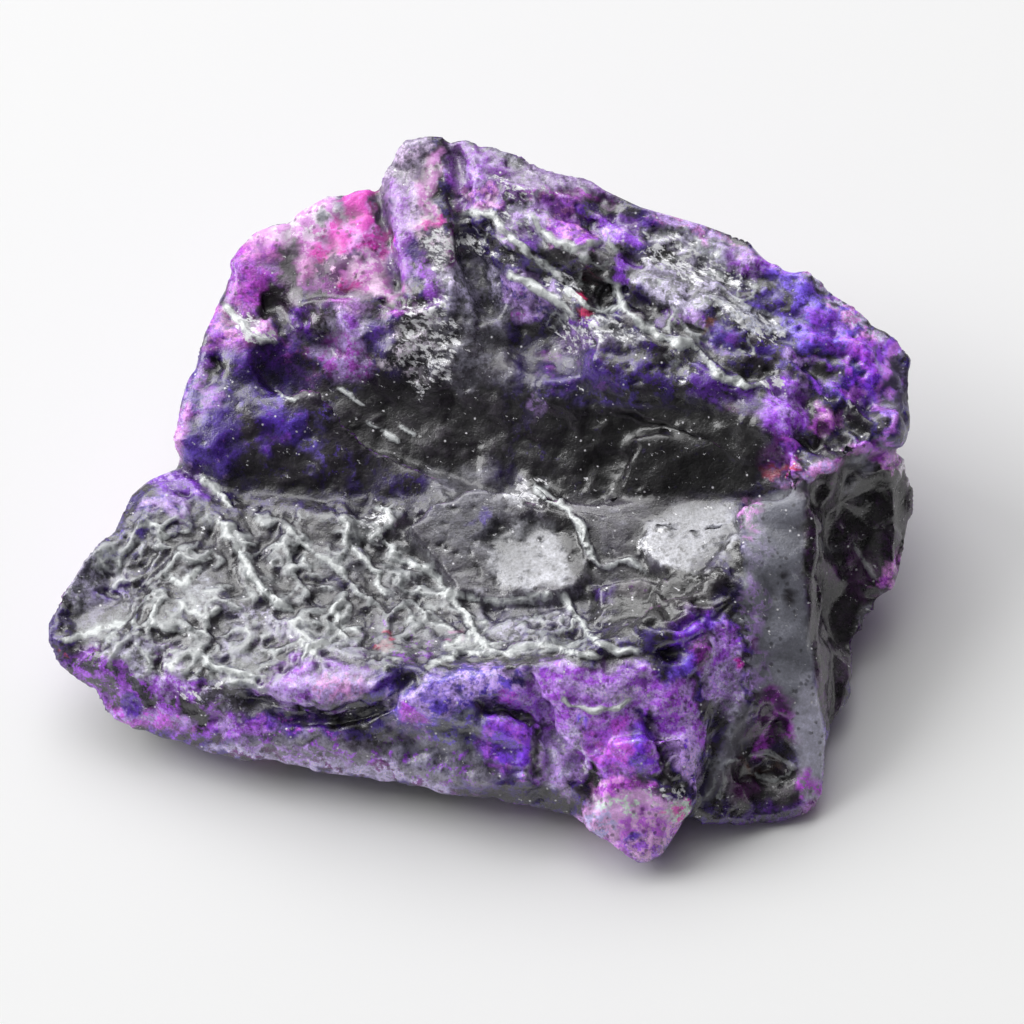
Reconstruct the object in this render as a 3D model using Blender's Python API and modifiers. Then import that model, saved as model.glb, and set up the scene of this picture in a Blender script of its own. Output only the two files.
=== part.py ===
"""Rough sapphire: one broken piece of purple corundum, about 35 mm long, lying on a small flat spot.

The stone is drawn the way it is looked at, from the front and from well above. A corner that shows there
is given by three real sizes in millimetres: how far to the right it is seen, how far up it is seen, and
how high it lies above the table. Corners that don't show are plain X, Y and Z. Metres, +Z up.

Each lump of the stone is the convex block between its corners, as if it had flat breaks. The lumps are
joined, shell-shaped breaks are scooped out, and the surface is roughened.
"""

import math

import bmesh
import bpy
from mathutils import Euler, Matrix, Vector, noise

MM = 0.001
TO_MM = 1 / MM
VIEW_RISE = math.radians(55)
SEEN_UP = Vector((0, math.sin(VIEW_RISE), math.cos(VIEW_RISE)))
TO_VIEWER = Vector((0, -math.cos(VIEW_RISE), math.sin(VIEW_RISE)))

GRAIN = 0.26 * MM
TRIANGLES = 9000
REST_HEIGHT = 0.45 * MM
SHARP_ANGLE = math.radians(38)
SAME_POINT = 0.002 * MM
VIOLET = (0.10, 0.035, 0.24, 1)
WET_GLOSS = 0.25

# A shell-shaped break is cut with a rounded block whose middle floats this many depths above the surface,
# so the block is this much wider than the break itself
HIGH_CENTRE = 2
ROUND_EDGE = (1 + HIGH_CENTRE) / math.sqrt(1 + 2 * HIGH_CENTRE)
SCOOP_FACETS = (40, 24)


def corner(right, up, height):
    """A corner seen from the front: mm to the right, mm up the picture, and mm above the table."""
    return Vector((right, (up - height * SEEN_UP.z) / SEEN_UP.y, height)) * MM


def seen(*corners):
    return [corner(*c) for c in corners]


def behind(*place):
    """A corner that doesn't show from the front: plain X, Y and Z in mm."""
    return Vector(place) * MM


def hidden(*corners):
    return [behind(*c) for c in corners]


# The lumps of the stone

LUMPS = {
    "peak": seen(
        (-4.6, 14.7, 10.8), (-3.7, 15.1, 11.2), (-2.8, 15.1, 11.4), (-5.3, 13.7, 10.1),
        (-5.4, 11.2, 9.2), (-1.9, 10.2, 9.9), (-2.6, 7.9, 8.8), (-4.9, 7.7, 8.3),
    ) + hidden((-5.2, 9.5, 4), (-2, 10.5, 4), (-5, 2, 2), (-2, 2, 2)),
    "left_block": seen(
        (-5.5, 13.2, 9.7), (-8.5, 11.9, 8.9), (-10.1, 11.4, 8.4), (-10.9, 10.9, 8.0),
        (-12.0, 7.9, 7.3), (-13.1, 4.6, 6.4), (-13.6, 3.0, 5.8), (-12.4, 2.7, 5.9),
        (-8.6, 4.4, 7.0), (-5.0, 5.9, 7.7), (-4.4, 8.4, 8.4), (-4.2, 0.6, 4.9),
        (-10.5, 0.7, 4.5), (-13.0, 1.7, 4.3),
    ) + hidden((-11, 7.5, 3.6), (-5, 10.3, 4.5), (-12.8, 0, 2.0), (-9, 5, 1.2), (-4, 3, 0.4)),
    "back_wing": seen(
        (-3.2, 15.1, 11.3), (-1.3, 14.9, 11.6), (1.2, 14.2, 11.4), (5.1, 11.9, 10.9),
        (8.3, 11.5, 10.4), (10.8, 9.9, 9.9), (12.4, 8.3, 9.4), (14.3, 7.5, 9.0),
        (15.5, 6.9, 8.6), (16.0, 6.2, 8.2), (15.9, 4.7, 7.7), (15.5, 2.9, 6.9),
        (-1.3, 7.4, 8.9), (3.5, 5.3, 9.0), (7.5, 4.1, 9.0), (10.3, 3.0, 8.9),
        (11.6, 1.3, 8.5), (13.5, 1.9, 8.3), (15.2, 2.8, 7.9),
        (-0.5, 1.2, 4.9), (3.5, 0.5, 5.3), (9.3, 0.4, 6.0),
    ) + hidden((-2.5, 10.8, 5), (7.5, 7.2, 4), (14.2, 3, 4.5), (0, 6, 0.6), (9, 2.5, 0.8), (12.6, -1, 2)),
    "trough_floor": seen(
        (-13.6, 1.7, 4.1), (-10.5, 1.7, 4.2), (-4.5, 1.8, 4.6), (3.5, 1.8, 5.0), (9.4, 1.6, 5.7),
        (-16.2, -5.6, 4.1), (-12.5, -6.9, 4.6), (-8.5, -6.9, 5.4), (-4.5, -7.1, 5.8),
        (1.9, -5.7, 6.9), (5.1, -5.6, 7.1), (7.5, -4.5, 7.2), (9.1, -3.3, 7.0),
        (-12.0, -8.7, 3.0), (-8.0, -9.1, 3.1), (-2.5, -10.0, 3.3), (2.2, -11.1, 3.4),
        (6.9, -10.6, 3.6), (8.6, -6.6, 5.6),
        (-17.1, -7.0, 2.6), (-16.4, -8.1, 2.0), (-14.5, -8.9, 1.8), (-12.5, -9.4, 2.0),
        (-9.3, -9.8, 1.9), (-4.5, -10.8, 1.8), (0.3, -11.4, 1.8), (2.4, -12.0, 1.9), (7.2, -12.2, 1.6),
    ) + hidden((-12, -9, 0.9), (-6, -10.5, 0), (2, -12.5, 0), (7, -12, 0), (-8, -1, 0.2), (8, 0, 0.5)),
    "left_tip": seen(
        (-18.7, -5.0, 3.9), (-18.5, -3.8, 4.1), (-17.7, -2.3, 4.4), (-16.4, -0.7, 4.6),
        (-14.8, 0.9, 4.6), (-13.8, 1.7, 4.5), (-18.3, -6.1, 3.3), (-17.0, -6.8, 3.0),
        (-12.5, -6.0, 4.8), (-11.0, -0.6, 4.9), (-12.6, 1.0, 4.6),
    ) + hidden((-14, -9, 1.4), (-15.5, -4.5, 1.6), (-12, 0, 1.4), (-9, -4, 0.3)),
    "core": seen(
        (-5.2, 5.6, 7.3), (-4.7, 9.0, 8.3), (-3.8, 14.2, 10.4), (-1.5, 14.0, 10.9), (-0.6, 8.2, 8.9),
        (-0.2, 6.0, 8.2), (-4.8, 0.4, 4.8), (0.2, 0.8, 4.9),
    ) + hidden((-5, 8, 3), (0, 8, 3), (-4.5, 2, 0.3), (0, 2, 0.3)),
    "front_foot": seen(
        (5.1, -14.0, 1.4), (4.0, -13.5, 1.7), (5.9, -13.8, 1.5), (6.6, -13.0, 1.7), (3.1, -12.9, 2.0),
        (2.3, -12.2, 2.2), (2.4, -10.4, 4.0), (4.2, -9.0, 5.2), (6.8, -8.8, 5.4), (7.6, -11.4, 2.9),
    ) + hidden((5, -16.4, 0.3), (3.4, -15, 0.3), (7, -14, 0.3)),
    "right_band": seen(
        (6.2, 0.5, 5.5), (6.8, -3.9, 6.9), (9.9, 0.5, 7.6), (9.4, -3.1, 7.1), (9.2, -5.5, 6.1),
        (9.3, -7.5, 4.9), (8.4, -9.9, 3.4), (7.6, -11.5, 2.1),
        (11.9, 0.9, 8.1), (11.8, -3.5, 6.1), (12.2, -6.7, 4.2), (12.6, -9.3, 2.4), (12.7, -10.9, 1.4),
        (12.4, -11.8, 0.9), (10.5, -12.5, 0.8), (8.5, -12.6, 1.0), (7.2, -12.5, 1.4),
    ) + hidden((8, -12, 0), (10.5, -9, 0), (12.2, -5, 0.5), (12.4, -1, 2), (9, 0, 0.5)),
    "right_rim": seen(
        (13.0, 1.2, 7.4), (15.0, 2.2, 7.0), (15.9, 2.2, 6.2), (16.2, 1.2, 5.0), (16.2, 0.2, 4.2),
        (15.9, -1.4, 3.3), (15.2, -2.9, 2.7), (14.3, -4.5, 2.2), (13.3, -6.2, 1.8), (12.9, -7.5, 1.5),
        (12.7, -8.9, 1.2), (11.9, -1.0, 5.6), (12.0, -5.0, 3.4), (12.4, -8.4, 1.7),
    ) + hidden((10.5, -9, 0.2), (12.2, -5, 0.5), (13.4, 0, 2), (9, 0, 0.5)),
}
MAIN_LUMP = "trough_floor"


# Shell-shaped breaks: a place on the surface, the way the break faces, the way it runs,
# and its length, width and depth in mm

SCOOPS = {
    "trough_wall": (corner(0.6, 4.0, 7.1), (-0.24, -0.68, 0.69), (0.93, -0.34, 0.0), (18.0, 5.6, 0.35)),
    "trough_floor_hollow": (corner(-4.0, -3.2, 5.4), (0.0, 0.10, 1.0), (1.0, -0.06, 0.04), (15.0, 7.4, 0.7)),
    "gully": (corner(-1.4, 9.6, 9.9), (0.10, -0.45, 0.90), (0.30, -0.86, -0.42), (7.0, 2.3, 1.0)),
    "wall_hollow": (corner(0.2, 7.2, 8.6), (0.05, -0.60, 0.80), (0.90, -0.30, -0.20), (4.6, 3.0, 0.8)),
    "right_hollow": (corner(13.6, -3.0, 4.1), (0.66, -0.42, 0.62), (0.10, -0.84, -0.54), (8.8, 4.2, 1.0)),
    "foot_hollow": (corner(10.3, -9.9, 2.9), (0.34, -0.66, 0.67), (0.10, -0.72, -0.70), (4.8, 3.0, 1.1)),
    "rim_dip": (corner(5.4, 10.7, 10.7), (0.25, -0.10, 0.96), (0.89, -0.45, -0.06), (8.0, 2.4, 0.45)),
    "left_step": (corner(-8.0, 6.6, 7.6), (-0.10, -0.55, 0.83), (0.90, 0.40, 0.10), (5.0, 2.4, 0.5)),
    "left_dip": (corner(-15.2, -2.6, 4.6), (-0.35, -0.10, 0.93), (0.55, 0.83, 0.10), (6.0, 3.0, 0.45)),
    "front_slope_hollow": (corner(-4.6, -9.4, 4.0), (0.0, -0.75, 0.66), (1.0, -0.10, 0.0), (9.0, 2.6, 0.5)),
    "back_break": (behind(3.5, 9.6, 6.0), (0.35, 0.86, -0.25), (0.92, -0.36, 0.0), (13.0, 5.0, 0.9)),
    "back_left_break": (behind(-9.5, 9.0, 5.5), (-0.55, 0.80, -0.10), (0.8, 0.58, 0.0), (8.0, 5.0, 0.8)),
    "left_under_break": (behind(-14.5, -5.0, 1.8), (-0.60, 0.20, -0.75), (0.4, 0.9, 0.0), (8.0, 5.0, 0.6)),
}


def new_object(name, mesh, collection):
    made = bpy.data.objects.new(name, mesh)
    collection.objects.link(made)
    return made


def clear_scene():
    for old in list(bpy.data.objects):
        bpy.data.objects.remove(old)


def lump(name, corners, collection):
    """The convex block between these corners."""
    shape = bmesh.new()
    for point in corners:
        shape.verts.new(point)
    hull = bmesh.ops.convex_hull(shape, input=shape.verts)
    inside = [v for v in hull["geom_interior"] if isinstance(v, bmesh.types.BMVert)]
    bmesh.ops.delete(shape, geom=inside, context="VERTS")
    bmesh.ops.recalc_face_normals(shape, faces=shape.faces)
    mesh = bpy.data.meshes.new(name)
    shape.to_mesh(mesh)
    shape.free()
    return new_object(name, mesh, collection)


def scoop(name, shell, collection):
    """The rounded cutter for one shell-shaped break."""
    place, facing, along, (length, width, depth) = shell
    out = Vector(facing).normalized()
    across = out.cross(Vector(along)).normalized()
    turn = Matrix((across.cross(out), across, out)).transposed()
    radii = Vector((length / 2 * ROUND_EDGE, width / 2 * ROUND_EDGE, depth * (1 + HIGH_CENTRE))) * MM
    shape = bmesh.new()
    around, upward = SCOOP_FACETS
    bmesh.ops.create_uvsphere(shape, u_segments=around, v_segments=upward, radius=1)
    bmesh.ops.scale(shape, vec=radii, verts=shape.verts)
    bmesh.ops.rotate(shape, matrix=turn, verts=shape.verts)
    bmesh.ops.translate(shape, vec=place + out * depth * HIGH_CENTRE * MM, verts=shape.verts)
    mesh = bpy.data.meshes.new(name)
    shape.to_mesh(mesh)
    shape.free()
    return new_object(name, mesh, collection)


def use_as_cutter(target, other, operation):
    other.hide_render = True
    other.display_type = "WIRE"
    boolean = target.modifiers.new(other.name, "BOOLEAN")
    boolean.operation = operation
    boolean.solver = "EXACT"
    boolean.object = other


def apply_all(obj):
    """The mesh that the object's modifiers make takes the place of its own."""
    graph = bpy.context.evaluated_depsgraph_get()
    mesh = bpy.data.meshes.new_from_object(obj.evaluated_get(graph))
    obj.modifiers.clear()
    obj.data = mesh


# The roughness of the break: size and height in mm of each kind of lump

LUMPY = [(3.4, 0.34, 3), (1.5, 0.20, 11), (0.75, 0.10, 23)]
STREAK_TURN = Euler((0, 0, math.radians(-27))).to_matrix()
STREAK_LENGTH = 5.5 * MM
STREAK_WIDTH = 1.3 * MM
STREAK_HEIGHT = 0.30
LOW_STREAK_HEIGHT = 0.16
STREAK_SEED = 5

# Sharp little steps down the back wing, which starts right of the middle and above the trough
LEDGE_WIDTH = 1.9 * MM
LEDGE_HEIGHT = 0.40
LEDGE_LIP = 0.82
LEDGE_BENDS = [(4.5, 0.9, 31), (1.6, 0.3, 37)]
WING_START = -0.5 * MM
WING_FULL = 2 * MM
WING_FOOT = 6.5 * MM
PATCHY_SIZE = 3
PATCHY_SEED = 41
PATCHY_SHARE = 0.6


def wandering(point, size, seed):
    """Smooth noise from -1 to 1, with lumps of about this size in mm."""
    return noise.noise(point / (size * MM) + Vector((seed, seed * 1.7, -seed)))


def streaks(point):
    """Long low ledges that run along the back wing."""
    along = STREAK_TURN.inverted() @ point
    stretched = Vector((along.x / STREAK_LENGTH, along.y / STREAK_WIDTH, along.z / STREAK_WIDTH))
    return noise.noise(stretched + Vector((STREAK_SEED, 0, 0)))


def ledges(point):
    """Sharp little steps down the back wing, from 0 at the foot of a step to 1 at its lip."""
    climb = (STREAK_TURN.inverted() @ point).y / LEDGE_WIDTH
    for size, bend, seed in LEDGE_BENDS:
        climb += bend * wandering(point, size, seed)
    share = climb % 1
    return 1 - share / LEDGE_LIP if share < LEDGE_LIP else (share - LEDGE_LIP) / (1 - LEDGE_LIP)


def distance_to_line(at, line):
    """From a seen place to the nearest stretch of a seen line, in mm."""
    nearest = math.inf
    for start, end in zip(line, line[1:]):
        a = Vector(start)
        run = Vector(end) - a
        share = min(1, max(0, (at - a).dot(run) / run.length_squared))
        nearest = min(nearest, (at - a - run * share).length)
    return nearest


# Creases and cracks as seen: width and depth in mm, then the line

CREASES = [
    (0.42, 0.45, [(-2.4, 14.6), (-2.0, 12.4), (-1.6, 10.2), (-1.0, 8.2)]),
    (0.32, 0.50, [(-5.4, 13.4), (-5.2, 10.9), (-4.6, 8.6)]),
    (0.38, 0.60, [(-10.5, -7.7), (-7.3, -8.2), (-5.6, -7.8), (-4.1, -6.8)]),
    (0.40, 0.55, [(-1.0, -7.8), (0.3, -8.0), (1.2, -8.6), (1.4, -9.9), (1.2, -11.2)]),
    (0.34, 0.50, [(-0.4, -5.9), (1.0, -7.6), (2.0, -9.6), (3.2, -11.6)]),
    (0.45, 0.40, [(6.0, -9.2), (6.6, -9.9), (6.9, -11.0)]),
    (0.45, 0.55, [(11.6, 4.4), (12.6, 3.2), (13.4, 2.9)]),
    (0.45, 0.55, [(12.0, 6.0), (13.0, 5.2), (14.4, 4.4)]),
    (0.50, 0.60, [(1.2, 9.6), (3.0, 9.2), (5.0, 8.3)]),
    (0.40, 0.45, [(-9.4, 8.6), (-8.9, 7.0), (-7.4, 6.6)]),
    (0.36, 0.45, [(4.0, -5.6), (6.4, -5.7), (8.2, -4.2)]),
]

# Raised wrinkles of the break as seen: width and height in mm, then the line

WRINKLES = [
    (0.30, 0.30, [(-11.8, 1.2), (-10.9, -0.4), (-10.6, -2.3), (-9.8, -3.2)]),
    (0.30, 0.28, [(-9.0, -0.9), (-6.7, -1.9), (-4.3, -2.6), (-3.0, -3.3), (-2.2, -4.4)]),
    (0.30, 0.34, [(0.5, 1.2), (1.9, 0.5), (2.7, -0.8), (3.2, -2.2), (5.0, -2.4)]),
    (0.30, 0.26, [(-2.2, -4.4), (-1.2, -5.4), (0.5, -5.6), (1.9, -5.0)]),
    (0.30, 0.26, [(1.8, -3.6), (2.6, -4.6), (3.4, -5.3)]),
    (0.30, 0.32, [(4.4, 8.1), (5.2, 6.9), (6.8, 6.2), (8.0, 5.2), (9.4, 4.9)]),
    (0.30, 0.28, [(-1.6, 11.9), (-0.8, 11.7), (0.6, 10.2), (1.8, 9.3)]),
    (0.30, 0.26, [(1.2, 11.6), (1.9, 10.5), (3.2, 10.2)]),
]


def along_lines(at, lines):
    """How much the drawn lines lift the surface at a seen place, in mm."""
    return sum(rise * math.exp(-((distance_to_line(at, line) / width) ** 2)) for width, rise, line in lines)


def roughness(point, normal):
    """How far the surface stands out of the flat breaks here, in metres."""
    at = Vector((point.x, point.dot(SEEN_UP))) * TO_MM
    facing = max(0, normal.dot(TO_VIEWER))
    high = point.z > WING_FOOT
    height = sum(rise * wandering(point, size, seed) for size, rise, seed in LUMPY)
    height += (STREAK_HEIGHT if high else LOW_STREAK_HEIGHT) * facing * streaks(point)
    if high and point.x > WING_START:
        strength = min(1, (point.x - WING_START) / WING_FULL)
        strength *= max(0, PATCHY_SHARE + wandering(point, PATCHY_SIZE, PATCHY_SEED))
        height += LEDGE_HEIGHT * strength * facing * (ledges(point) - 0.5)
    height += facing * (along_lines(at, WRINKLES) - along_lines(at, CREASES))
    return height * MM


def roughen(obj):
    """Moves each point of the fine mesh along its normal."""
    mesh = obj.data
    moves = [v.normal * roughness(v.co, v.normal) for v in mesh.vertices]
    for vertex, move in zip(mesh.vertices, moves):
        vertex.co += move
    mesh.update()


def coarsen(obj):
    """Fewer triangles where the surface is flat."""
    obj.data.calc_loop_triangles()
    fewer = obj.modifiers.new("fewer_triangles", "DECIMATE")
    fewer.ratio = TRIANGLES / len(obj.data.loop_triangles)
    fewer.use_collapse_triangulate = True
    apply_all(obj)


def drop_crumbs(shape):
    """Keeps only the biggest joined body of the mesh."""
    waiting = set(shape.verts)
    bodies = []
    while waiting:
        start = waiting.pop()
        body, edge_of_body = {start}, [start]
        while edge_of_body:
            for edge in edge_of_body.pop().link_edges:
                for vertex in edge.verts:
                    if vertex in waiting:
                        waiting.remove(vertex)
                        body.add(vertex)
                        edge_of_body.append(vertex)
        bodies.append(body)
    biggest = max(bodies, key=len)
    bmesh.ops.delete(shape, geom=[v for v in shape.verts if v not in biggest], context="VERTS")


def flatten_rest(obj):
    """Cuts the small flat spot that the stone lies on, and sets it down with its middle at X = Y = 0."""
    shape = bmesh.new()
    shape.from_mesh(obj.data)
    drop_crumbs(shape)
    everything = [*shape.verts, *shape.edges, *shape.faces]
    cut = bmesh.ops.bisect_plane(
        shape, geom=everything, plane_co=(0, 0, REST_HEIGHT), plane_no=(0, 0, 1), clear_inner=True
    )
    rim = [e for e in cut["geom_cut"] if isinstance(e, bmesh.types.BMEdge)]
    bmesh.ops.triangle_fill(shape, edges=rim, use_beauty=True)
    bmesh.ops.remove_doubles(shape, verts=shape.verts, dist=SAME_POINT)
    bmesh.ops.recalc_face_normals(shape, faces=shape.faces)
    for axis in (0, 1):
        places = [v.co[axis] for v in shape.verts]
        middle = (min(places) + max(places)) / 2
        for vertex in shape.verts:
            vertex.co[axis] -= middle
    for vertex in shape.verts:
        vertex.co.z -= REST_HEIGHT
    shape.to_mesh(obj.data)
    shape.free()


def stone_material():
    finish = bpy.data.materials.new("purple_corundum")
    finish.use_nodes = True
    surface = finish.node_tree.nodes["Principled BSDF"]
    surface.inputs["Base Color"].default_value = VIOLET
    surface.inputs["Roughness"].default_value = WET_GLOSS
    surface.inputs["Metallic"].default_value = 0
    return finish


def build():
    clear_scene()
    stone_parts = bpy.data.collections.new("rough_sapphire")
    cutters = bpy.data.collections.new("lumps_and_scoops")
    for group in (stone_parts, cutters):
        bpy.context.scene.collection.children.link(group)
    stone = lump("sapphire", LUMPS[MAIN_LUMP], stone_parts)
    for name, corners in LUMPS.items():
        if name != MAIN_LUMP:
            use_as_cutter(stone, lump(name, corners, cutters), "UNION")
    for name, place in SCOOPS.items():
        use_as_cutter(stone, scoop(name, place, cutters), "DIFFERENCE")
    grain = stone.modifiers.new("grain", "REMESH")
    grain.mode = "VOXEL"
    grain.voxel_size = GRAIN
    apply_all(stone)
    roughen(stone)
    coarsen(stone)
    flatten_rest(stone)
    stone.data.materials.append(stone_material())
    stone.data.shade_smooth()
    stone.data.set_sharp_from_angle(angle=SHARP_ANGLE)


build()
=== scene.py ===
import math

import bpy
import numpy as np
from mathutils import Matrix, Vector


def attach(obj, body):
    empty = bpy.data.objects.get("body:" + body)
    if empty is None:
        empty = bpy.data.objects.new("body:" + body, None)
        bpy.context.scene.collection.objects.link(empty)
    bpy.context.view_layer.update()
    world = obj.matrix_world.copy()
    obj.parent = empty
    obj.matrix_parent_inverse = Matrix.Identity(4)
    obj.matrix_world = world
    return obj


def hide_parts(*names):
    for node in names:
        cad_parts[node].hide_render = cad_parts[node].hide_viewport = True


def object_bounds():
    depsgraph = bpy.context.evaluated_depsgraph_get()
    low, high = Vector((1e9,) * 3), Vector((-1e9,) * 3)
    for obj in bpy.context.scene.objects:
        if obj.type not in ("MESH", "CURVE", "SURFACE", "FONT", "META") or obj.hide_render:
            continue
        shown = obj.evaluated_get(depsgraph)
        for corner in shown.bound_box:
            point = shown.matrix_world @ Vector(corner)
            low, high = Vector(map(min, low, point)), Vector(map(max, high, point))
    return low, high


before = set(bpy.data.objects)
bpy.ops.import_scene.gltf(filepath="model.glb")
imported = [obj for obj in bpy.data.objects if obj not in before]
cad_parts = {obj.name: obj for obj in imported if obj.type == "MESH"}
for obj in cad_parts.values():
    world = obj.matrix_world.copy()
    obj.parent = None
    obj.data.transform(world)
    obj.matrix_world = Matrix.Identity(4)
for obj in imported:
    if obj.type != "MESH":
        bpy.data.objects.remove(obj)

# %% [markdown]
# # A rough sapphire
#
# The object is one broken piece of purple corundum, about 35 mm long, wet-looking and mottled from near black
# through violet to pink. The solid that is loaded here has its main shape. This lesson gives it the fine
# relief of a broken gemstone, its colours and its gloss.
#
# A stone has no repeated parts and no straight edges, so most of the work is one dense mesh whose points are
# moved by measured amounts. Everything is in metres, and a size that is easier to think of in millimetres is
# written that way and multiplied by MM.

MM = 0.001
solid_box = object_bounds()
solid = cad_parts["sapphire"]


def in_mm(corner):
    """A corner in mm, short enough to print."""
    return [round(float(c) / MM, 2) for c in corner]


print("solid from", in_mm(solid_box[0]), "to", in_mm(solid_box[1]), "mm")


def pick_only(piece):
    """Only this piece is selected and active, as after a click on it."""
    bpy.ops.object.select_all(action="DESELECT")
    piece.select_set(True)
    bpy.context.view_layer.objects.active = piece


# %% [markdown]
# ## A dense skin over the solid
#
# The solid has a few thousand triangles, which is too coarse for wrinkles a quarter of a millimetre wide. A
# subdivision would keep its uneven triangles, so the copy is rebuilt as even little squares by a voxel remesh,
# and then smoothed just enough to take the triangles' edges off. The solid itself isn't changed.

# %% The copy, its doubles merged and its skin rebuilt
SKIN_GRAIN = 0.125 * MM
SAME_POINT = 0.0005 * MM
SMOOTHING_ROUNDS = 5

stone = solid.copy()
stone.data = solid.data.copy()
stone.name = "rough_sapphire_stone"
stone.modifiers.clear()
bpy.context.scene.collection.objects.link(stone)
pick_only(stone)
bpy.ops.object.mode_set(mode="EDIT")
bpy.ops.mesh.select_all(action="SELECT")
bpy.ops.mesh.remove_doubles(threshold=SAME_POINT)
bpy.ops.object.mode_set(mode="OBJECT")
stone.data.remesh_voxel_size = SKIN_GRAIN
stone.data.remesh_voxel_adaptivity = 0
bpy.ops.object.voxel_remesh()


def smooth(piece, name, rounds, group=""):
    """Smooths the piece, or the points of one group, this many times by half a step."""
    modifier = piece.modifiers.new(name, "SMOOTH")
    modifier.factor = 0.5
    modifier.iterations = rounds
    modifier.vertex_group = group
    pick_only(piece)
    bpy.ops.object.modifier_apply(modifier=name)


smooth(stone, "edges_off", SMOOTHING_ROUNDS)
print("skin:", len(stone.data.vertices), "points")

# %% [markdown]
# ## Reading places off the view from the front
#
# The stone is known from one view, from the front and 55 degrees above the table. So a place on it is given as
# it shows there, in units of a twenty-fifth of a millimetre, right and down from the top left corner of a
# square view 1024 units wide. The function below says where each point of the skin shows from a lens two
# thirds of a metre away. How squarely a point faces the view fades the drawn marks out round the back.

# %% Where each point shows in the view
UNITS_PER_MM = 25
VIEW_SIZE = 1024
VIEW_RISE = math.radians(55)
VIEW_MIDDLE = (1.160, 2.637)  # right and up from the stone's origin, mm
LENS = 600  # mm
SENSOR = 36  # mm
VIEW_DISTANCE = VIEW_SIZE / UNITS_PER_MM * LENS / SENSOR
STONE_NEARER = 4.5  # mm, how far the stone's middle is in front of its origin
VIEW_UP = np.array((0, math.sin(VIEW_RISE), math.cos(VIEW_RISE)))
TO_VIEW = np.array((0, -math.cos(VIEW_RISE), math.sin(VIEW_RISE)))


def read_points(mesh):
    """The mesh's points in mm and its normals, as arrays."""
    count = len(mesh.vertices)
    places = np.empty(count * 3)
    mesh.vertices.foreach_get("co", places)
    normals = np.empty(count * 3)
    mesh.vertex_normals.foreach_get("vector", normals)
    return places.reshape(-1, 3) / MM, normals.reshape(-1, 3)


def where_seen(places):
    """How far right and down each point shows, in units of the view."""
    scale = UNITS_PER_MM * VIEW_DISTANCE / (VIEW_DISTANCE + STONE_NEARER - places @ TO_VIEW)
    right = places[:, 0] - VIEW_MIDDLE[0]
    up = places @ VIEW_UP - VIEW_MIDDLE[1]
    return VIEW_SIZE / 2 + right * scale, VIEW_SIZE / 2 - up * scale


def ramp(values, low, high):
    """0 below low, 1 above high, and a soft S between."""
    share = np.clip((values - low) / (high - low), 0, 1)
    return share * share * (3 - 2 * share)


points, normals = read_points(stone.data)
seen_x, seen_y = where_seen(points)
facing = ramp(normals @ TO_VIEW, 0.02, 0.35)
print("shows from", int(seen_x.min()), int(seen_y.min()), "to", int(seen_x.max()), int(seen_y.max()))

# %% [markdown]
# ## Random lumps
#
# Broken stone is irregular at every size. Gradient noise gives smooth random lumps of a chosen size: random
# slopes sit on the corners of a grid of cells and are blended between them. It is written with arrays here,
# because a loop over a hundred thousand points would be slow. The seed fixes the pattern.

# %% Noise of a given size
TO_ABOUT_ONE = 1.7  # the blended slopes alone reach only 0.6
FAR = 9.0  # more than any distance between neighbouring cells


def lumps(places, size, seed):
    """Smooth random lumps from about -1 to 1, and about this many millimetres across."""
    picks = np.random.default_rng(seed)
    shuffled = picks.permutation(256)
    slopes = picks.normal(size=(256, 3))
    slopes /= np.linalg.norm(slopes, axis=1)[:, None]
    at = places / size + picks.uniform(0, 60, 3)
    cell = np.floor(at).astype(int)
    inside = at - cell
    ease = inside**3 * (inside * (inside * 6 - 15) + 10)
    total = np.zeros(len(places))
    for corner in np.ndindex(2, 2, 2):
        key = shuffled[(cell[:, 0] + corner[0]) & 255]
        key = shuffled[(key + cell[:, 1] + corner[1]) & 255]
        key = shuffled[(key + cell[:, 2] + corner[2]) & 255]
        reach = ((inside - corner) * slopes[key]).sum(1)
        total += reach * np.abs(1 - np.array(corner) - ease).prod(1)
    return total * TO_ABOUT_ONE


def wrinkles(places, size, seed, sharpness=4):
    """Thin winding ridges, 1 on their crests, where the lumps cross zero."""
    return np.clip(1 - np.abs(lumps(places, size, seed)) * sharpness, 0, 1)


def cells(places, size, seed):
    """How much farther the second nearest of many scattered seeds is than the nearest, in mm: 0 on the border
    between two cells. The seeds are about this many mm apart."""
    picks = np.random.default_rng(seed)
    shuffled = picks.permutation(256)
    offsets = picks.uniform(size=(256, 3))
    at = places / size + picks.uniform(0, 60, 3)
    cell = np.floor(at).astype(int)
    first = np.full(len(places), FAR)
    second = np.full(len(places), FAR)
    for corner in np.ndindex(3, 3, 3):
        home = cell + np.array(corner) - 1
        key = shuffled[home[:, 0] & 255]
        key = shuffled[(key + home[:, 1]) & 255]
        key = shuffled[(key + home[:, 2]) & 255]
        away = np.linalg.norm(at - home - offsets[key], axis=1)
        nearer = away < first
        second = np.where(nearer, first, np.minimum(second, away))
        first = np.where(nearer, away, first)
    return (second - first) * size


def bend(places):
    """The places moved about by up to half a millimetre, so that a pattern read there winds."""
    return places + 0.5 * np.stack([lumps(places, 1.5, seed) for seed in (1, 2, 3)], axis=1)


bent = bend(points)
sample = lumps(points, 1, 5)
print("lumps from", round(sample.min(), 2), "to", round(sample.max(), 2))

# %% [markdown]
# ## The zones of the stone
#
# The stone broke differently from place to place: the back wing is ledged and streaky, the trough between the
# wings is a smooth wet skin full of fine wrinkles, the band at the right end is waxy and almost flat, and the
# hollow beside it is glassy. A zone is an outline in the view, turned into a soft mask, and its edge is
# pushed about by noise, so that no zone ends in a drawn line.

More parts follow.
